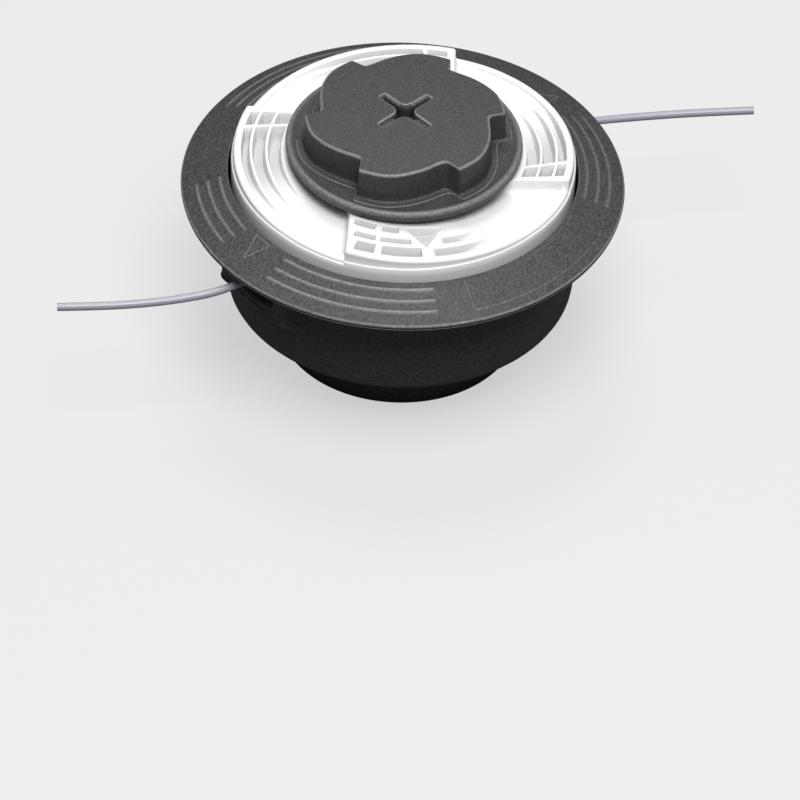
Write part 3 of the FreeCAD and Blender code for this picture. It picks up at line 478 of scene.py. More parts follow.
def housing_shape(radius, height, painted_light_and_shade, angle):
    """Moves the turned skin: marks on the brim, four facets and two sunk panels under the bowl, exit grooves."""
    on_brim = (height > BRIM_EDGE + 1.0) & (radius > 43.2) & (radius < 53.6)
    marks, marks_painted_highlight = brim_marks(radius, angle)
    height = height + np.where(on_brim, marks, 0.0)
    # On the brim, the marks' painted highlight takes the place of the section's.
    painted_light_and_shade = np.where(on_brim, marks_painted_highlight, painted_light_and_shade)
    for towards in FACET_ANGLES:
        along, side = local(radius, angle, towards)
        cut = FLOOR + (along - FACET_START) * math.tan(math.radians(FACET_TILT))
        half = np.interp(along, [FACET_START, 46.0], [8.5, 17.0])
        mask = (1.0 - smooth(np.abs(side), half - 0.3, half + 0.3)) * smooth(along, 32.9, 33.1)
        under_bowl = (height < 21.0) & (radius > 31.0)
        height = np.where(under_bowl & (cut > height), height + (cut - height) * mask, height)
    for towards in EXIT_ANGLES:
        along, side = local(radius, angle, towards)
        shape = inside(radius, 32.7, 38.2, 0.25) * (1.0 - smooth(np.abs(side), 10.4, 10.9))
        height = np.where(height < FLOOR + 0.8, height + 0.7 * shape, height)
        groove = inside(radius, 47.6, 53.0, 0.3) * (1.0 - smooth(np.abs(side), 1.1, 1.5)) * (along > 0)
        under = (height < 45.35 + 0.41 * (53.7 - radius)) & (height > 40.0) & (radius > 46.5)
        height = np.where(under, height + 0.9 * groove, height)
    return radius, height, painted_light_and_shade


def make_housing():
    """Turns the housing's section, with its corners rounded, and adds what stands on it."""
    section = rounded([
        (11.0, FLOOR_TOP, 0.0, 1), (38.9, FLOOR_TOP, 0.8, 1), (40.5, 18.5, 0.8, 1), (42.1, 30.6, 3.0, 2),
        (43.0, 37.6, 3.0, 2), (43.0, 51.0, 0.35, 40), (54.5, 46.6, 0.75, 1),
        (54.5, 46.0, 0.0, 1), (54.1, 45.85, 0.0, 1), (54.1, 45.6, 0.0, 1), (54.4, 45.45, 0.14, 1),
        (54.2, 45.1, 0.1, 1), (53.7, 45.05, 0.1, 6), (46.5, 48.0, 0.4, 1), (45.8, 47.3, 0.4, 4),
        (44.4, 30.6, 6.0, 3), (42.8, 16.8, 2.4, 1), (39.7, 14.0, 0.4, 14), (30.6, 14.0, 0.3, 3),
        (30.0, 0.0, 0.9, 1), (28.0, 0.0, 0.9, 3), (28.0, 14.0, 0.3, 4), (11.0, 14.0, 0.0, 1)])
    fine = [np.arange(towards - 6.0, towards + 6.0, 0.25) for towards in EXIT_ANGLES]
    ends = [np.arange(end - VIEW_TURN - 0.75, end - VIEW_TURN + 0.76, 0.15) for end in PLATE_ENDS]
    angles = np.unique(np.round(np.concatenate([np.arange(0.0, 360.0, 0.8)] + fine + ends) % 360.0, 2))
    shell = turned_piece("housing_shell", section, angles, housing_shape)
    post = turned_piece("spindle_post", rounded([
        (3.2, 38.0, 0.0, 1), (4.8, 38.0, 0.0, 1), (4.8, 26.0, 0.0, 1), (9.0, 26.0, 0.0, 1), (9.0, 14.0, 0.0, 1),
        (11.0, 14.0, 0.0, 1), (11.0, 27.0, 0.4, 1), (7.5, 27.0, 0.6, 1), (7.5, 48.0, 0.4, 1),
        (3.2, 48.0, 0.3, 1)][::-1]), full_turn(96))
    ring = turned_piece("inner_ring", rounded([
        (22.8, 14.0, 0.0, 3), (22.8, 2.5, 0.7, 1), (20.75, 2.5, 0.7, 3), (20.75, 14.0, 0.0, 1)]), full_turn(240))
    cams = boxes("floor_cams", (10.0, 3.8, 3.6), (27.0, 0.0, 17.7), 45.0 + full_turn(4), 0.3)
    spokes = boxes("hub_spokes", (11.6, 1.4, 8.2), (15.6, 0.0, 10.3), full_turn(6), 0.25)
    return [shell, cams, make_guard(0.0, "right"), make_guard(180.0, "left")], [post, ring, spokes, make_hub()]


SOCKET_FLATS, HUB_FLATS = 15.5, 20.6
CORNER_POWER = 40.0


def hexagon_radius(angle, flats):
    """Distance from the axis to a hexagon's side, its corners softened by a high power mean of six cosines."""
    turns = np.radians(np.asarray(angle)[..., None] - 30.0 - 60.0 * np.arange(6))
    lean = np.maximum(np.cos(turns), 0.0) ** CORNER_POWER
    return 0.5 * flats / lean.sum(axis=-1) ** (1.0 / CORNER_POWER)


def make_hub():
    """A hexagonal tube with fine flutes inside and outside, rounded at its mouth."""
    section = rounded([(0.0, 6.1, 0.2, 1), (1.0, 6.1, 0.2, 4), (1.0, 14.0, 0.0, 1), (0.0, 14.0, 0.0, 4)][::-1])

    def shape(share, height, painted_light_and_shade, angle):
        """Between the two hexagons by share, each with a cosine added for its flutes."""
        inner = hexagon_radius(angle, SOCKET_FLATS) + 0.12 * np.cos(np.radians(angle * 36.0))
        outer = hexagon_radius(angle, HUB_FLATS) - 0.22 * (1.0 + np.cos(np.radians(angle * 48.0)))
        return inner + (outer - inner) * share, height, painted_light_and_shade

    return turned_piece("hexagon_socket", section, full_turn(720), shape)


def make_guard(towards, label):
    """Two posts and an arched web in front of a line exit.

    The outline round the posts is carried from the underside up to the brim. Points between the posts and
    above the arch are pushed back to the bowl wall, and the underside has two half-moon core holes.
    """
    outline = rounded([(GUARD_BACK, GUARD_HALF, 0.0, 8), (GUARD_REACH, 12.9, 3.0, 12), (GUARD_REACH, 0.0, 0.0, 1)])
    outline = outline[np.argsort(outline[:, 1], kind="stable")]
    near_arch = np.linspace(-0.5, 0.5, 9)
    side = np.unique(np.concatenate([np.linspace(-GUARD_HALF, GUARD_HALF, 90), near_arch - ARCH_HALF,
                                     near_arch + ARCH_HALF]))[::-1]
    reach = np.interp(np.abs(side), outline[:, 1], outline[:, 0])
    rows = []

    def add_row(across, height):
        """One more run of points along side, at this reach and height."""
        rows.append(np.stack(np.broadcast_arrays(across, side, height), axis=-1))

    shares = np.linspace(0.0, 1.0, 26) ** 0.8
    for share in shares:
        across = GUARD_BACK + (reach - GUARD_RIM * 0.9 - GUARD_BACK) * share
        pocket = np.clip(1.15 - np.hypot((across - 45.3) / 1.3, (np.abs(side) - 10.9) / 2.0), 0.0, 1.0)
        add_row(across, GUARD_FOOT + smooth(pocket, 0.1, 0.3) * 4.0 * (across < 46.6))
    for turn in np.linspace(0.0, 0.5 * math.pi, 5)[1:]:
        add_row(reach - GUARD_RIM + GUARD_RIM * math.sin(turn), GUARD_FOOT + GUARD_RIM * (1.0 - math.cos(turn)))
    for height in gathered(33.0, GUARD_TOP, 0.6, [ARCH_FOOT], 0.1, 3, 0.6):
        roof = ARCH_FOOT + 2.2 * (np.abs(side) / ARCH_HALF) ** 3.0
        open_mask = (1.0 - smooth(np.abs(side), 7.7, 8.2)) * smooth(height, roof - 0.25, roof + 0.25)
        draft = 0.4 * (height - 33.0) / 15.0
        add_row((reach - 0.4 + draft) * (1.0 - open_mask) + 44.6 * open_mask, height)
    add_row(GUARD_BACK, GUARD_TOP)
    points = turned(np.array(rows), towards)
    painted_light_and_shade = np.zeros(points.shape[:2])
    # Painted highlight on the rounded lower edge of the posts.
    painted_light_and_shade[len(shares):len(shares) + 3] = 0.3
    count, columns = points.shape[:2]
    index = np.arange(count * columns).reshape(count, columns)
    everything = np.concatenate([points.reshape(-1, 3), points[:, (0, -1)].mean(axis=0)])
    faces = [grid_faces(count, columns, True, False)[:, ::-1]]
    faces += end_fans(index[::-1, 0], index[:, -1], count * columns)
    return new_mesh("exit_guard_" + label, everything, faces, np.append(painted_light_and_shade, [0.0, 0.0]))


# Spool: grip ring with four ramps, and the turned flanges and core


SKEW_OFFSET = 11.6
SKEW_RADIUS = 38.0
STEPS = (30.5, 116.5, 208.7, 303.0)
SPANS = (86.0, 92.2, 94.3, 87.5)
FRONT_SEGMENT = 2
GROOVE_ENDS = (65.0, 65.0, 65.0, 52.0)
RIM_INNER = 39.8
RING_BORE, RING_BACK = 24.6, 46.0
ROWS = ((30.2, 33.1), (34.1, 36.9), (37.9, 39.8))
CELL_FLOOR = 53.0
SMOOTH_DROP = 0.6
# Front segment: (inner radius, outer radius, first angle, last angle) of each pocket and groove
FRONT_POCKETS = ((36.5, 39.8, 212.6, 219.4), (33.3, 35.0, 210.0, 218.5), (29.1, 31.1, 207.5, 217.0),
                 (36.5, 39.8, 222.4, 236.6), (33.3, 35.0, 221.0, 233.0), (29.1, 31.1, 220.6, 227.6),
                 (37.2, 39.8, 241.5, 266.0), (33.3, 35.3, 246.0, 266.0))
FRONT_TRIANGLE = ((29.1, 230.3), (36.4, 238.9), (29.5, 247.8))


def skew(radius):
    """Angle by which the step edges, which don't point at the axis, lag behind at a radius."""
    return np.degrees(math.asin(SKEW_OFFSET / SKEW_RADIUS) - np.arcsin(SKEW_OFFSET / np.asarray(radius, float)))


def polygon_distance(x, y, corners):
    """How far a point lies outside a convex polygon, whose corners run anticlockwise. Negative inside."""
    distance = np.full(np.shape(x), -1e9)
    for (x1, y1), (x2, y2) in zip(corners, corners[1:] + corners[:1]):
        length = math.hypot(x2 - x1, y2 - y1)
        distance = np.maximum(distance, ((x - x1) * (y2 - y1) - (y - y1) * (x2 - x1)) / length)
    return distance


def plain_hollows(radius, position, groove_end):
    """1 in the cells and grooves of an ordinary segment: three rows, each a cell and then a long groove."""
    hollow = np.zeros_like(radius)
    degree = 1.0 / np.radians(radius)
    cell = inside(position, 3.9, 10.2, 0.45 * degree)
    groove = inside(position, 12.9, groove_end, 0.45 * degree)
    for low, high in ROWS:
        row = inside(radius, low + 0.22, high - 0.22, 0.4)
        hollow = np.maximum(hollow, row * np.maximum(cell, groove))
    return hollow


def front_hollows(radius, angle):
    """1 in the pockets of the front segment: two short columns, a triangle, and two grooves after it."""
    hollow = np.zeros_like(radius)
    degree = 1.0 / np.radians(radius)
    for low, high, first, last in FRONT_POCKETS:
        ends = inside(angle, first + 0.25 * degree, last - 0.25 * degree, 0.4 * degree)
        hollow = np.maximum(hollow, inside(radius, low + 0.22, high - 0.22, 0.4) * ends)
    corners = [tuple(polar(at, place, 0.0)[:2]) for at, place in FRONT_TRIANGLE]
    outside = polygon_distance(*local(radius, angle, 0.0), corners)
    hollow = hollow * smooth(outside, 0.75, 1.15)
    return np.maximum(hollow, 1.0 - smooth(outside, -0.35, 0.1)), outside


def ring_surface(radius, along, angle):
    """Height of the grip ring over its radius and its skewed and true angles.

    In each segment the top falls evenly from the high step. Cells and grooves are sunk to one floor. The groove
    floors lift part-way along and meet the ribs, which fade out in a plain slope a little below the rim. A
    round fillet joins that slope to the next step.
    """
    turns = along % 360.0
    number = (np.searchsorted(STEPS, turns, side="right") - 1) % len(STEPS)
    span = np.array(SPANS)[number]
    position = (turns - np.array(STEPS)[number]) % 360.0
    top = STEP_HIGH - (STEP_HIGH - STEP_LOW) * position / span
    slope = top - SMOOTH_DROP
    end = np.array(GROOVE_ENDS)[number]
    front = number == FRONT_SEGMENT
    wrapped_angle = angle % 360.0
    special, outside = front_hollows(radius, wrapped_angle)
    hollow = np.where(front, special, plain_hollows(radius, position, end))
    rim = smooth(radius, RIM_INNER - 0.35, RIM_INNER + 0.15)
    fade = smooth(position, np.where(front, 50.0, end - 14.0), np.where(front, 62.0, end + 5.0))
    ribs = top + (slope - top) * fade * (1.0 - rim)
    lift = smooth(position, np.where(front, 42.0, 28.0), np.where(front, 57.0, end))
    floor = CELL_FLOOR + (slope - CELL_FLOOR) * lift
    floor = np.where(front & (outside < 0.7), CELL_FLOOR + 0.5, floor)
    left = radius * np.radians(span - position)
    rise = np.clip(1.0 - left / 2.2, 0.0, 1.0)
    fillet = 2.0 * (1.0 - np.sqrt(np.clip(1.0 - rise ** 2, 0.0, 1.0)))
    height = ribs + (floor - ribs) * hollow * (1.0 - rim) + fillet * (1.0 - rim)
    arrow = ridge(radius, 36.0, 0.7) * inside(wrapped_angle, 272.0, 279.5, 0.3)
    barb = np.abs(radius - 36.0) - (284.5 - wrapped_angle) * 0.42
    head = (1.0 - smooth(barb, -0.1, 0.1)) * inside(wrapped_angle, 279.3, 284.5, 0.2)
    height = height + 0.16 * np.maximum(arrow, head) * front
    plateau = smooth((wrapped_angle - 262.0) / 28.0 * 8.0 + 33.0 - radius, -0.4, 0.4)
    height = height + 0.12 * plateau * front * (1.0 - rim) * smooth(position, 56.0, 60.0)
    height = height - 0.5 * (1.0 - smooth(radius * np.radians(position), 0.0, 0.55)) ** 2
    height = height - 0.45 * smooth(radius, STEP_RADIUS - 0.5, STEP_RADIUS) ** 2
    # The second value is painted shade, darkest on the floors of the cells and grooves.
    return height, -np.clip((slope - height) / (slope - CELL_FLOOR), 0.0, 1.0) * hollow


def make_grip_ring():
    """The face of the spool as a height over radius and skewed angle, closed by the outer wall and a back."""
    near = np.array([0.02, 0.18, 0.36, 0.56, 0.8, 1.1])
    near = np.concatenate([-near[::-1], near])
    parts = [np.arange(0.0, 360.0, 0.6)]
    for start in STEPS:
        parts.append(start + near)
        for mark in (3.55, 10.55, 12.55):
            parts.append(start + mark + np.linspace(-0.8, 0.8, 7))
    parts.append(np.arange(STEPS[FRONT_SEGMENT] + 3.0, STEPS[FRONT_SEGMENT] + 42.0, 0.24))
    along = np.unique(np.round(np.concatenate(parts) % 360.0, 3))
    along = along[np.concatenate([[True], np.diff(along) > 0.035])]
    edges = [RIM_INNER - 0.1] + [edge for row in ROWS for edge in row] + [29.1, 31.1, 33.4, 35.1, 36.5]
    radius = gathered(RING_BORE, STEP_RADIUS, 0.4, sorted(edges), 0.11, 3, 0.36)
    radius_grid, along_grid = np.meshgrid(radius, along, indexing="ij")
    angle = along_grid + skew(radius_grid)
    top, shade = ring_surface(radius_grid, along_grid, angle)
    rows = [np.stack([radius_grid, angle, top], axis=-1)]
    wall_top = top[-1]

    def row(at, angles, height):
        """One more ring of points, at this radius and height."""
        return np.stack(np.broadcast_arrays(at, angles, height), axis=-1)[None]

    ledge = np.minimum(wall_top - 0.4, STEP_LOW)
    for at, height in ((STEP_RADIUS + 0.03, np.maximum(wall_top - 0.3, ledge + 0.2)),
                       (STEP_RADIUS + 0.05, ledge + 0.1), (STEP_RADIUS + 0.12, ledge),
                       (SPOOL_RADIUS - 0.15, ledge - 0.03), (SPOOL_RADIUS, ledge - 0.2), (SPOOL_RADIUS, 52.0),
                       (SPOOL_RADIUS, 50.0), (SPOOL_RADIUS, 48.0), (SPOOL_RADIUS, 46.3),
                       (SPOOL_RADIUS - 0.3, RING_BACK)):
        rows.append(row(at, angle[-1], height))
    rows.append(row(RING_BORE, angle[0], RING_BACK))
    grid = np.concatenate(rows)
    points = polar(grid[..., 0], grid[..., 1], grid[..., 2])
    painted_light_and_shade = np.zeros(points.shape[:2])
    # Painted shade on the sunk cells and grooves of the face.
    painted_light_and_shade[:len(radius)] = shade
    return new_mesh("grip_ring", points.reshape(-1, 3), [grid_faces(*points.shape[:2], True, True)[:, ::-1]], painted_light_and_shade)


def make_spool_core():
    """Flanges, core and web of the spool, below the grip ring."""
    section = rounded([
        (7.6, 43.0, 0.2, 1), (16.0, 43.0, 0.3, 1), (16.0, 24.3, 0.3, 1), (38.0, 24.3, 0.4, 1), (38.0, 25.9, 0.4, 1),
        (18.6, 25.9, 0.4, 1), (18.6, 35.15, 0.4, 1), (37.0, 35.15, 0.4, 1), (37.0, 36.75, 0.4, 1),
        (18.6, 36.75, 0.4, 1), (18.6, 46.0, 0.0, 1), (25.0, 46.0, 0.0, 1), (25.0, 47.6, 0.0, 1),
        (21.0, 47.6, 0.2, 1), (21.0, 53.0, 0.4, 1), (19.2, 53.0, 0.4, 1), (19.2, 47.6, 0.2, 1), (7.6, 47.6, 0.2, 1)])
    core = turned_piece("spool_core", section[::-1], full_turn(180))
    lugs = boxes("spool_lugs", (8.0, 4.7, 3.4), (27.0, 0.0, 22.9), full_turn(4), 0.3)
    return [core, lugs]


# Bump knob


LOBE_MIDDLE = 2.6
LOBE_VALLEY = 20.7
LOBE_CREST = 24.5
FLANK_LEAD = 5.5
FLANK_WIDTH = 7.3
ARM_TURN = 45.0 - VIEW_TURN
CROWN_ROWS = 22
FLANGE_COLUMNS = 480


def crown_height(radius):
    """The shallow dome of the grip, which falls with the square of the radius."""
    return KNOB_EDGE_HEIGHT + KNOB_CROWN * (1.0 - (radius / KNOB_DOME) ** 2)


def gate_mark(x, y):
    """A small raised circle on the crown."""
    return 0.05 * ridge(np.hypot(x - 7.2, y + 15.4), 2.0, 0.5)


def soft_less(first, last, softness):
    """The lesser of two values, with the corner between them rounded: a negative logarithm of summed exponents."""
    return -softness * np.logaddexp(-first / softness, -last / softness)


def lobe_radius(seen):
    """Grip outline over the angle in the view, the same in each sixth of a turn.

    It rises from the valley in a flank that starts gently and ends steep, keeps nearly level, and then falls in a
    straight slope back to the valley, with the corners rounded.
    """
    after = (seen - LOBE_MIDDLE + FLANK_LEAD) % 60.0
    past = after - FLANK_LEAD
    back = soft_less(LOBE_CREST - 0.008 * past, LOBE_CREST + 0.1 - 0.1145 * (past - 17.0), 0.28)
    back = -soft_less(-back, -(LOBE_VALLEY - 0.05), 0.22)
    flank = np.clip(after / FLANK_WIDTH, 0.0, 1.0) ** 2
    return LOBE_VALLEY + (back - LOBE_VALLEY) * smooth(flank, 0.0, 1.0)


def cross_distance(along, across):
    """Distance outside a cross of two slots: rounded boxes, with the elbows between them filled by arcs."""
    half, reach, soft, elbow = 0.98, 8.3, 0.6, 2.0

    def slot(length, width):
        """Distance outside a rounded box: how far the point is past its sides, less the rounding."""
        far = np.abs(length) - (reach - soft)
        side = np.abs(width) - (half - soft)
        return np.hypot(np.maximum(far, 0.0), np.maximum(side, 0.0)) + np.minimum(np.maximum(far, side), 0.0) - soft

    distance = np.minimum(slot(along, across), slot(across, along))
    corner_x = np.abs(along) - (half + elbow)
    corner_y = np.abs(across) - (half + elbow)
    arc = elbow - np.hypot(corner_x, corner_y)
    return np.where((corner_x < 0) & (corner_y < 0), np.minimum(distance, arc), distance)


def crown_surface(x, y):
    """Height and painted light of the grip's crown, a shallow dome with a crossed recess.

    The two front arms are shallow. The others are deep, with painted shade darkening them towards their floor. The
    recess has a rounded lip with a painted highlight.
    """
    arm = math.radians(ARM_TURN)
    along = x * math.cos(arm) + y * math.sin(arm)
    across = -x * math.sin(arm) + y * math.cos(arm)
    distance = cross_distance(along, across)
    back = x * math.cos(math.radians(49.0)) + y * math.sin(math.radians(49.0))
    depth = 0.9 + 3.4 * smooth(back, -2.4, -0.6)
    sunk = 1.0 - smooth(distance, -0.16 - 0.3 * smooth(-back, 0.6, 2.4), -0.02)
    lip = np.clip(0.5 - distance, 0.0, 0.5) / 0.5
    bevel = 0.28 * (1.0 - np.sqrt(1.0 - np.minimum(lip, 0.999) ** 2))
    height = crown_height(np.hypot(x, y)) - depth * sunk - bevel * (1.0 - sunk)
    # Painted highlight on the lip; painted shade in the deep arms.
    painted_light_and_shade = ridge(distance, 0.1, 0.75) * (1.0 - sunk) - sunk * smooth(depth, 1.5, 3.5)
    return height + gate_mark(x, y), painted_light_and_shade


def knob_cap():
    """The middle of the crown on a square grid along the recess's arms, finer at its walls, with its four sides."""
    half = np.unique(np.round(np.concatenate([
        np.arange(0.0, 3.4, 0.12), np.arange(3.4, 7.4, 0.4), np.arange(7.4, 9.0, 0.12), [9.2, 9.6],
        0.98 + np.linspace(-0.32, 0.32, 9)]), 3))
    lines = np.concatenate([-half[:0:-1], half])
    along, across = np.meshgrid(lines, lines, indexing="ij")
    arm = math.radians(ARM_TURN)
    x = along * math.cos(arm) - across * math.sin(arm)
    y = along * math.sin(arm) + across * math.cos(arm)
    height, painted_light_and_shade = crown_surface(x, y)
    count = len(lines)
    index = np.arange(count * count).reshape(count, count)
    border = np.concatenate([index[:-1, 0], index[-1, :-1], index[:0:-1, -1], index[0, :0:-1]])
    faces = grid_faces(count, count, False, False)[:, ::-1]
    return np.stack([x, y, height], axis=-1).reshape(-1, 3), painted_light_and_shade.ravel(), faces, border


def in_order(points, numbers):
    """Numbered points in the order of their angle about the spin axis, and those angles."""
    angle = np.degrees(np.arctan2(points[numbers, 1], points[numbers, 0])) % 360.0
    order = np.argsort(angle)
    return numbers[order], angle[order]


def knob_rows(lobes):
    """Rows of (radius, height, painted light) for the lobed part of the grip, from the crown to the raised plate's
    foot.
    """
    edge, base, foot = 0.75, 59.95, 0.6
    rows = []
    for share in np.linspace(0.0, 1.0, CROWN_ROWS):
        radius = 14.2 + (lobes - edge - 14.2) * share
        rows.append((radius, crown_height(radius), 0.0))
    rim = rows[-1][1]
    # The rounded top edge gets a painted highlight in the middle of its arc.
    for turn in np.linspace(0.0, 0.5 * math.pi, 9)[1:]:
        rows.append((lobes - edge + edge * math.sin(turn), rim - edge * (1.0 - math.cos(turn)),
                     math.sin(2.0 * turn)))
    wall = rows[-1][1]
    for share in np.linspace(0.0, 1.0, 8)[1:]:
        rows.append((lobes + 0.3 * share, wall + (base + foot - wall) * share, 0.0))
    for turn in np.linspace(0.0, 0.5 * math.pi, 5)[1:]:
        rows.append((lobes + 0.3 + foot * (1.0 - math.cos(turn)), base + foot * (1.0 - math.sin(turn)), 0.0))
    plate = np.maximum(np.minimum(lobes + 2.0, 26.4), lobes + 1.0)
    # Painted highlight on the plate's rounded step, and painted shade at its foot.
    for out, drop, painted_light_and_shade in ((-0.2, 0.01, 0.0), (0.0, 0.02, 0.6), (0.09, 0.07, 0.6), (0.15, 0.17, 0.0),
                           (0.3, 0.21, -0.3)):
        rows.append((plate + out, base - drop, painted_light_and_shade))
    return [[np.broadcast_to(value, lobes.shape) for value in row] for row in rows]


def flange_rows():
    """Rows of (radius, height, painted light) for the flange: its sunk ring, round raised rim and underside."""
    rows = [(26.95, 59.74, 0.0)]
    # The rise to the rim and the rim's round top get a painted highlight.
    for share in np.linspace(0.0, 1.0, 7)[1:]:
        rows.append((26.95 + 1.0 * share, 59.74 + 0.43 * math.sin(0.5 * math.pi * share), 0.35 * share))
    for turn in np.linspace(0.0, math.pi, 17)[1:]:
        rows.append((27.95 + 1.05 * math.sin(turn), 58.77 + 1.4 * math.cos(turn),
                     float(np.interp(turn, [0.0, 0.5, 1.0, 1.5], [0.5, 0.8, 0.6, 0.0]))))
    for radius, height in ((23.6, 57.33), (23.6, 57.0), (23.6, 47.9), (21.1, 47.9), (21.1, 56.6), (18.6, 60.6)):
        rows.append((radius, height, 0.0))
    return rows


def make_knob():
    """The grip and its flange as one skin.

    The square cap of the crown is bridged to rings whose points gather at the lobes' steep flanks. Another bridge
    leads to the plainer rings of the flange, which end in a pole under the crown.
    """
    flanks = LOBE_MIDDLE + 60.0 * np.arange(6) - VIEW_TURN
    close = np.linspace(-4.4, 2.9, 53)
    angle = np.concatenate([np.arange(0.0, 360.0, 0.7), (flanks[:, None] + close).ravel()])
    angle = np.unique(np.round(angle % 360.0, 2))
    angle = angle[np.concatenate([[True], np.diff(angle) > 0.06])]
    points, painted_light_and_shade, cap, border = knob_cap()
    lobed = np.array(knob_rows(lobe_radius(angle + VIEW_TURN)))
    outer = polar(lobed[:, 0], angle[None], lobed[:, 1])
    outer[:CROWN_ROWS, :, 2] += gate_mark(outer[:CROWN_ROWS, :, 0], outer[:CROWN_ROWS, :, 1])
    plain = np.array(flange_rows())
    plain_angle = full_turn(FLANGE_COLUMNS)
    flange = polar(plain[:, :1], plain_angle[None], plain[:, 1:2])
    first, second = len(points), len(points) + outer[..., 0].size
    last = second + flange[..., 0].size
    everything = np.concatenate([points, outer.reshape(-1, 3), flange.reshape(-1, 3), [[0.0, 0.0, 60.6]]])
    # Painted highlight and painted shade for the crown, the grip and the flange.
    painted_light_amount = np.concatenate([painted_light_and_shade, lobed[:, 2].ravel(), np.repeat(plain[:, 2], FLANGE_COLUMNS), [0.0]])
    cap_ring = in_order(everything, border)
    inner_ring = first + np.arange(len(angle))
    foot_ring = second - len(angle) + np.arange(len(angle))
    flange_ring = second + np.arange(FLANGE_COLUMNS)
    low_ring = last - FLANGE_COLUMNS + np.arange(FLANGE_COLUMNS)
    pole = np.stack([np.roll(low_ring, -1), low_ring, np.full(FLANGE_COLUMNS, last)], axis=-1)
    faces = [cap, ring_faces(*cap_ring, inner_ring, angle),
             grid_faces(len(lobed), len(angle), False, True, first)[:, ::-1],
             ring_faces(foot_ring, angle, flange_ring, plain_angle),
             grid_faces(len(plain), FLANGE_COLUMNS, False, True, second)[:, ::-1], pole]
    return new_mesh("knob_skin", everything, faces, painted_light_amount)


# Spring and trimmer line


LINE_END_RIGHT = ((46.2, 0.0, 40.1), (55.0, -3.4, 39.7), (64.5, -8.2, 39.3), (74.0, -13.6, 39.1),
                  (83.5, -19.5, 39.0), (93.0, -26.0, 39.0))
LINE_END_LEFT = ((-46.2, 0.0, 40.1), (-55.0, 1.2, 39.6), (-64.0, 5.0, 39.2), (-73.0, 9.8, 39.1),
                 (-81.6, 15.4, 39.0), (-90.2, 21.8, 39.0))
LINE_DIAMETER = 2.0
# The compression spring stands on the bowl floor. Its wire is given by its radius.
SPRING_LOW, SPRING_LENGTH, SPRING_RADIUS, SPRING_WIRE, SPRING_TURNS = FLOOR_TOP, 24.9, 13.4, 0.8, 6.0
WIRE_GAP = 0.02


def make_spring():
    """A round wire on a helix, whose radius is even and whose height grows with the angle.

    Each ring of points lies square to the helix's tangent.
    """
    turn = np.linspace(0.0, 2.0 * math.pi * SPRING_TURNS, 289)
    rise = (SPRING_LENGTH - 2.0 * SPRING_WIRE) / turn[-1]
    outward = np.stack([np.cos(turn), np.sin(turn), np.zeros_like(turn)], axis=-1)
    centre = SPRING_RADIUS * outward
    centre[:, 2] = SPRING_LOW + SPRING_WIRE + rise * turn
    tangent = np.stack([-SPRING_RADIUS * np.sin(turn), SPRING_RADIUS * np.cos(turn), np.full_like(turn, rise)],
                       axis=-1)
    tangent /= np.linalg.norm(tangent, axis=-1, keepdims=True)
    upward = np.cross(outward, tangent)
    around = np.linspace(0.0, 2.0 * math.pi, 16, endpoint=False)[:, None]
    section = np.cos(around) * outward[:, None] + np.sin(around) * upward[:, None]
    points = centre[:, None] + (SPRING_WIRE - WIRE_GAP) * section
    count, columns = points.shape[:2]
    index = np.arange(count * columns).reshape(count, columns)
    everything = np.concatenate([points.reshape(-1, 3), centre[[0, -1]]])
    faces = [grid_faces(count, columns, False, True)[:, ::-1]]
    faces += end_fans(index[0], index[-1, ::-1], count * columns)
    coil = new_mesh("spring_coil", everything, faces)
    coil.data.materials.append(spring_wire)
    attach(coil, "housing")
    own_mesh(coil)
    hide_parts("spring")


def make_line_end(name, route, node):
    """A free end of line along its route, from the mouth of the eyelet to the bare cut end."""
    curve = bpy.data.curves.new(name, "CURVE")
    curve.dimensions = "3D"
    spline = curve.splines.new("NURBS")
    spline.points.add(len(route) - 1)
    for point, place in zip(spline.points, route):
        point.co = (place[0] * MM, place[1] * MM, place[2] * MM, 1.0)
    spline.order_u = 3
    spline.use_endpoint_u = True
    spline.resolution_u = 12
    curve.bevel_depth = 0.5 * LINE_DIAMETER * MM
    curve.bevel_resolution = 6
    curve.use_fill_caps = True
    piece = bpy.data.objects.new(name, curve)
    piece.data.materials.append(line_nylon)
    bpy.context.collection.objects.link(piece)
    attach(piece, "housing")
    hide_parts(node)


# Studio


def place_camera():
    """The photograph's camera: it looks down at the centre of the brim, which sits high in the frame."""
    azimuth = math.radians(CAMERA_AZIMUTH)
    elevation = math.radians(CAMERA_ELEVATION)
    forward = Vector((-math.sin(azimuth) * math.cos(elevation), math.cos(azimuth) * math.cos(elevation),
                      -math.sin(elevation)))
    right = Vector((math.cos(azimuth), math.sin(azimuth), 0.0))
    up = right.cross(forward)
    turn = math.radians(CAMERA_ROLL)
    half = IMAGE_WIDTH / 2
    across = (CAMERA_AIM_PIXEL[0] - half) / CAMERA_FOCAL_PIXELS
    down = (CAMERA_AIM_PIXEL[1] - half) / CAMERA_FOCAL_PIXELS
    view_right = right * math.cos(turn) - up * math.sin(turn)
    view_up = right * math.sin(turn) + up * math.cos(turn)
    aim = (forward - view_right * across + view_up * down).normalized()
    aim_right = aim.cross(view_up).normalized()
    aim_up = aim_right.cross(aim)
    data = bpy.data.cameras.new("photo_camera")
    data.sensor_width = SENSOR
    data.lens = CAMERA_FOCAL_PIXELS * SENSOR / IMAGE_WIDTH
    data.clip_end = 10.0
    camera = bpy.data.objects.new("photo_camera", data)
    bpy.context.collection.objects.link(camera)
    place = Vector((0.0, 0.0, AIM_HEIGHT * MM)) - forward * CAMERA_DISTANCE
    turned = Matrix((aim_right, aim_up, -aim)).transposed().to_4x4()
    camera.matrix_world = Matrix.Translation(place) @ turned
    bpy.context.scene.camera = camera


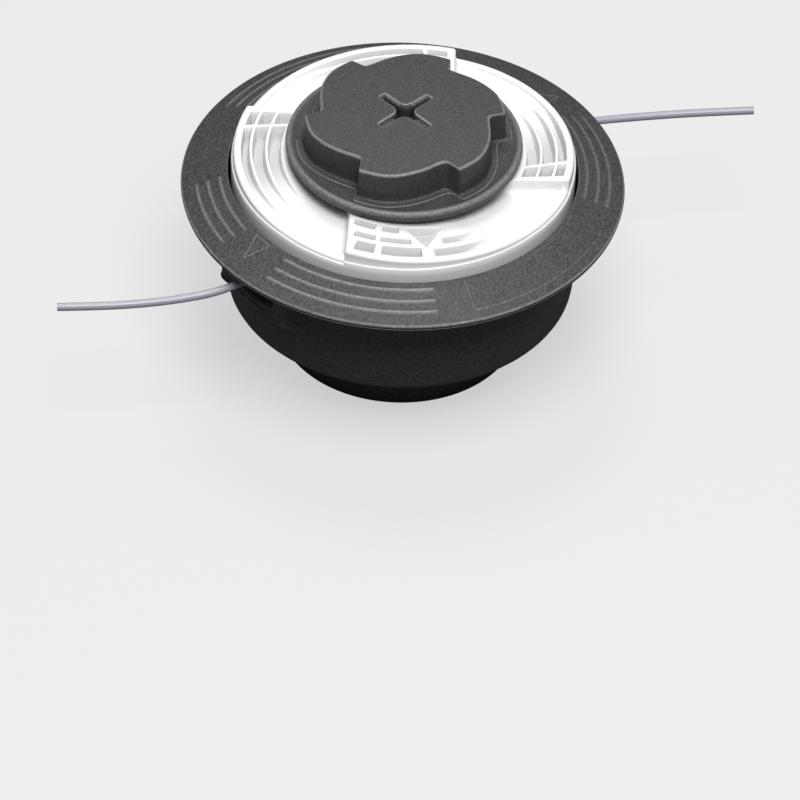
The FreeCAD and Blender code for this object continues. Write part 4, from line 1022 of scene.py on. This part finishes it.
def paper_material():
    """Pale studio paper. The camera sees it near one even tone, and it throws little light back on the object."""
    material = new_material("studio_paper", (0.62, 0.62, 0.62), 0.95)
    nodes, links = material.node_tree.nodes, material.node_tree.links
    shader = nodes["Principled BSDF"]
    path = nodes.new("ShaderNodeLightPath")
    tone = nodes.new("ShaderNodeMix")
    tone.data_type = "RGBA"
    tone.inputs["A"].default_value = (0.10, 0.10, 0.10, 1.0)
    tone.inputs["B"].default_value = (0.72, 0.72, 0.72, 1.0)
    links.new(path.outputs["Is Camera Ray"], tone.inputs["Factor"])
    links.new(tone.outputs["Result"], shader.inputs["Base Color"])
    glow = nodes.new("ShaderNodeEmission")
    glow.inputs["Color"].default_value = (0.82, 0.82, 0.82, 1.0)
    share = nodes.new("ShaderNodeMath")
    share.operation = "MULTIPLY"
    share.inputs[1].default_value = 0.72
    links.new(path.outputs["Is Camera Ray"], share.inputs[0])
    mix = nodes.new("ShaderNodeMixShader")
    links.new(share.outputs["Value"], mix.inputs["Fac"])
    links.new(shader.outputs["BSDF"], mix.inputs[1])
    links.new(glow.outputs["Emission"], mix.inputs[2])
    links.new(mix.outputs["Shader"], nodes["Material Output"].inputs["Surface"])
    return material


def lamp(name, place, size, power):
    """A square lamp that points at the head."""
    light = bpy.data.lights.new(name, "AREA")
    light.size = size
    light.energy = power
    item = bpy.data.objects.new(name, light)
    item.location = place
    item.rotation_euler = (Vector((0, 0, 0.04)) - Vector(place)).to_track_quat("-Z", "Y").to_euler()
    bpy.context.collection.objects.link(item)


def light_studio():
    """A pale floor and world, with a large soft key lamp and a weaker one from behind."""
    world = bpy.data.worlds.new("studio")
    bpy.context.scene.world = world
    world.use_nodes = True
    world.node_tree.nodes["Background"].inputs["Color"].default_value = (0.83, 0.83, 0.83, 1.0)
    world.node_tree.nodes["Background"].inputs["Strength"].default_value = 0.15
    size = 6.0
    mesh = bpy.data.meshes.new("floor")
    mesh.from_pydata([(-size, -size, 0), (size, -size, 0), (size, size, 0), (-size, size, 0)], [], [(0, 1, 2, 3)])
    floor = bpy.data.objects.new("floor", mesh)
    floor.data.materials.append(paper_material())
    bpy.context.collection.objects.link(floor)
    lamp("key_lamp", (-0.30, -0.54, 1.46), 0.8, 25.0)
    lamp("back_lamp", (0.35, 0.5, 1.3), 0.6, 7.0)


for node_name, pieces in zip(("housing", "drive_hub"), make_housing()):
    for piece in pieces:
        piece.data.materials.append(charcoal)
        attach(piece, "housing")
        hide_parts(node_name)
for piece in [make_grip_ring()] + make_spool_core():
    piece.data.materials.append(white)
    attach(piece, "spool")
    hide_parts("spool")
knob = make_knob()
knob.data.materials.append(knob_charcoal)
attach(knob, "spool")
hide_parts("bump_knob")
make_spring()
make_line_end("line_free_right", LINE_END_RIGHT, "line_end_right")
make_line_end("line_free_left", LINE_END_LEFT, "line_end_left")

for material, node_names in (
        (steel, ("threaded_insert", "retaining_bolt", "bolt_washer", "retaining_plate", "spring_washer")),
        (spring_wire, ("spring",)), (charcoal, ("housing", "drive_hub")), (knob_charcoal, ("bump_knob",)),
        (white, ("spool", "line_eyelet_right", "line_eyelet_left")),
        (line_nylon, ("line_winding_lower", "line_winding_upper", "line_lead_upper", "line_lead_lower",
                      "line_end_right", "line_end_left"))):
    for node_name in node_names:
        finish_node(node_name, material)

bpy.context.scene.view_settings.view_transform = "Standard"
place_camera()
light_studio()
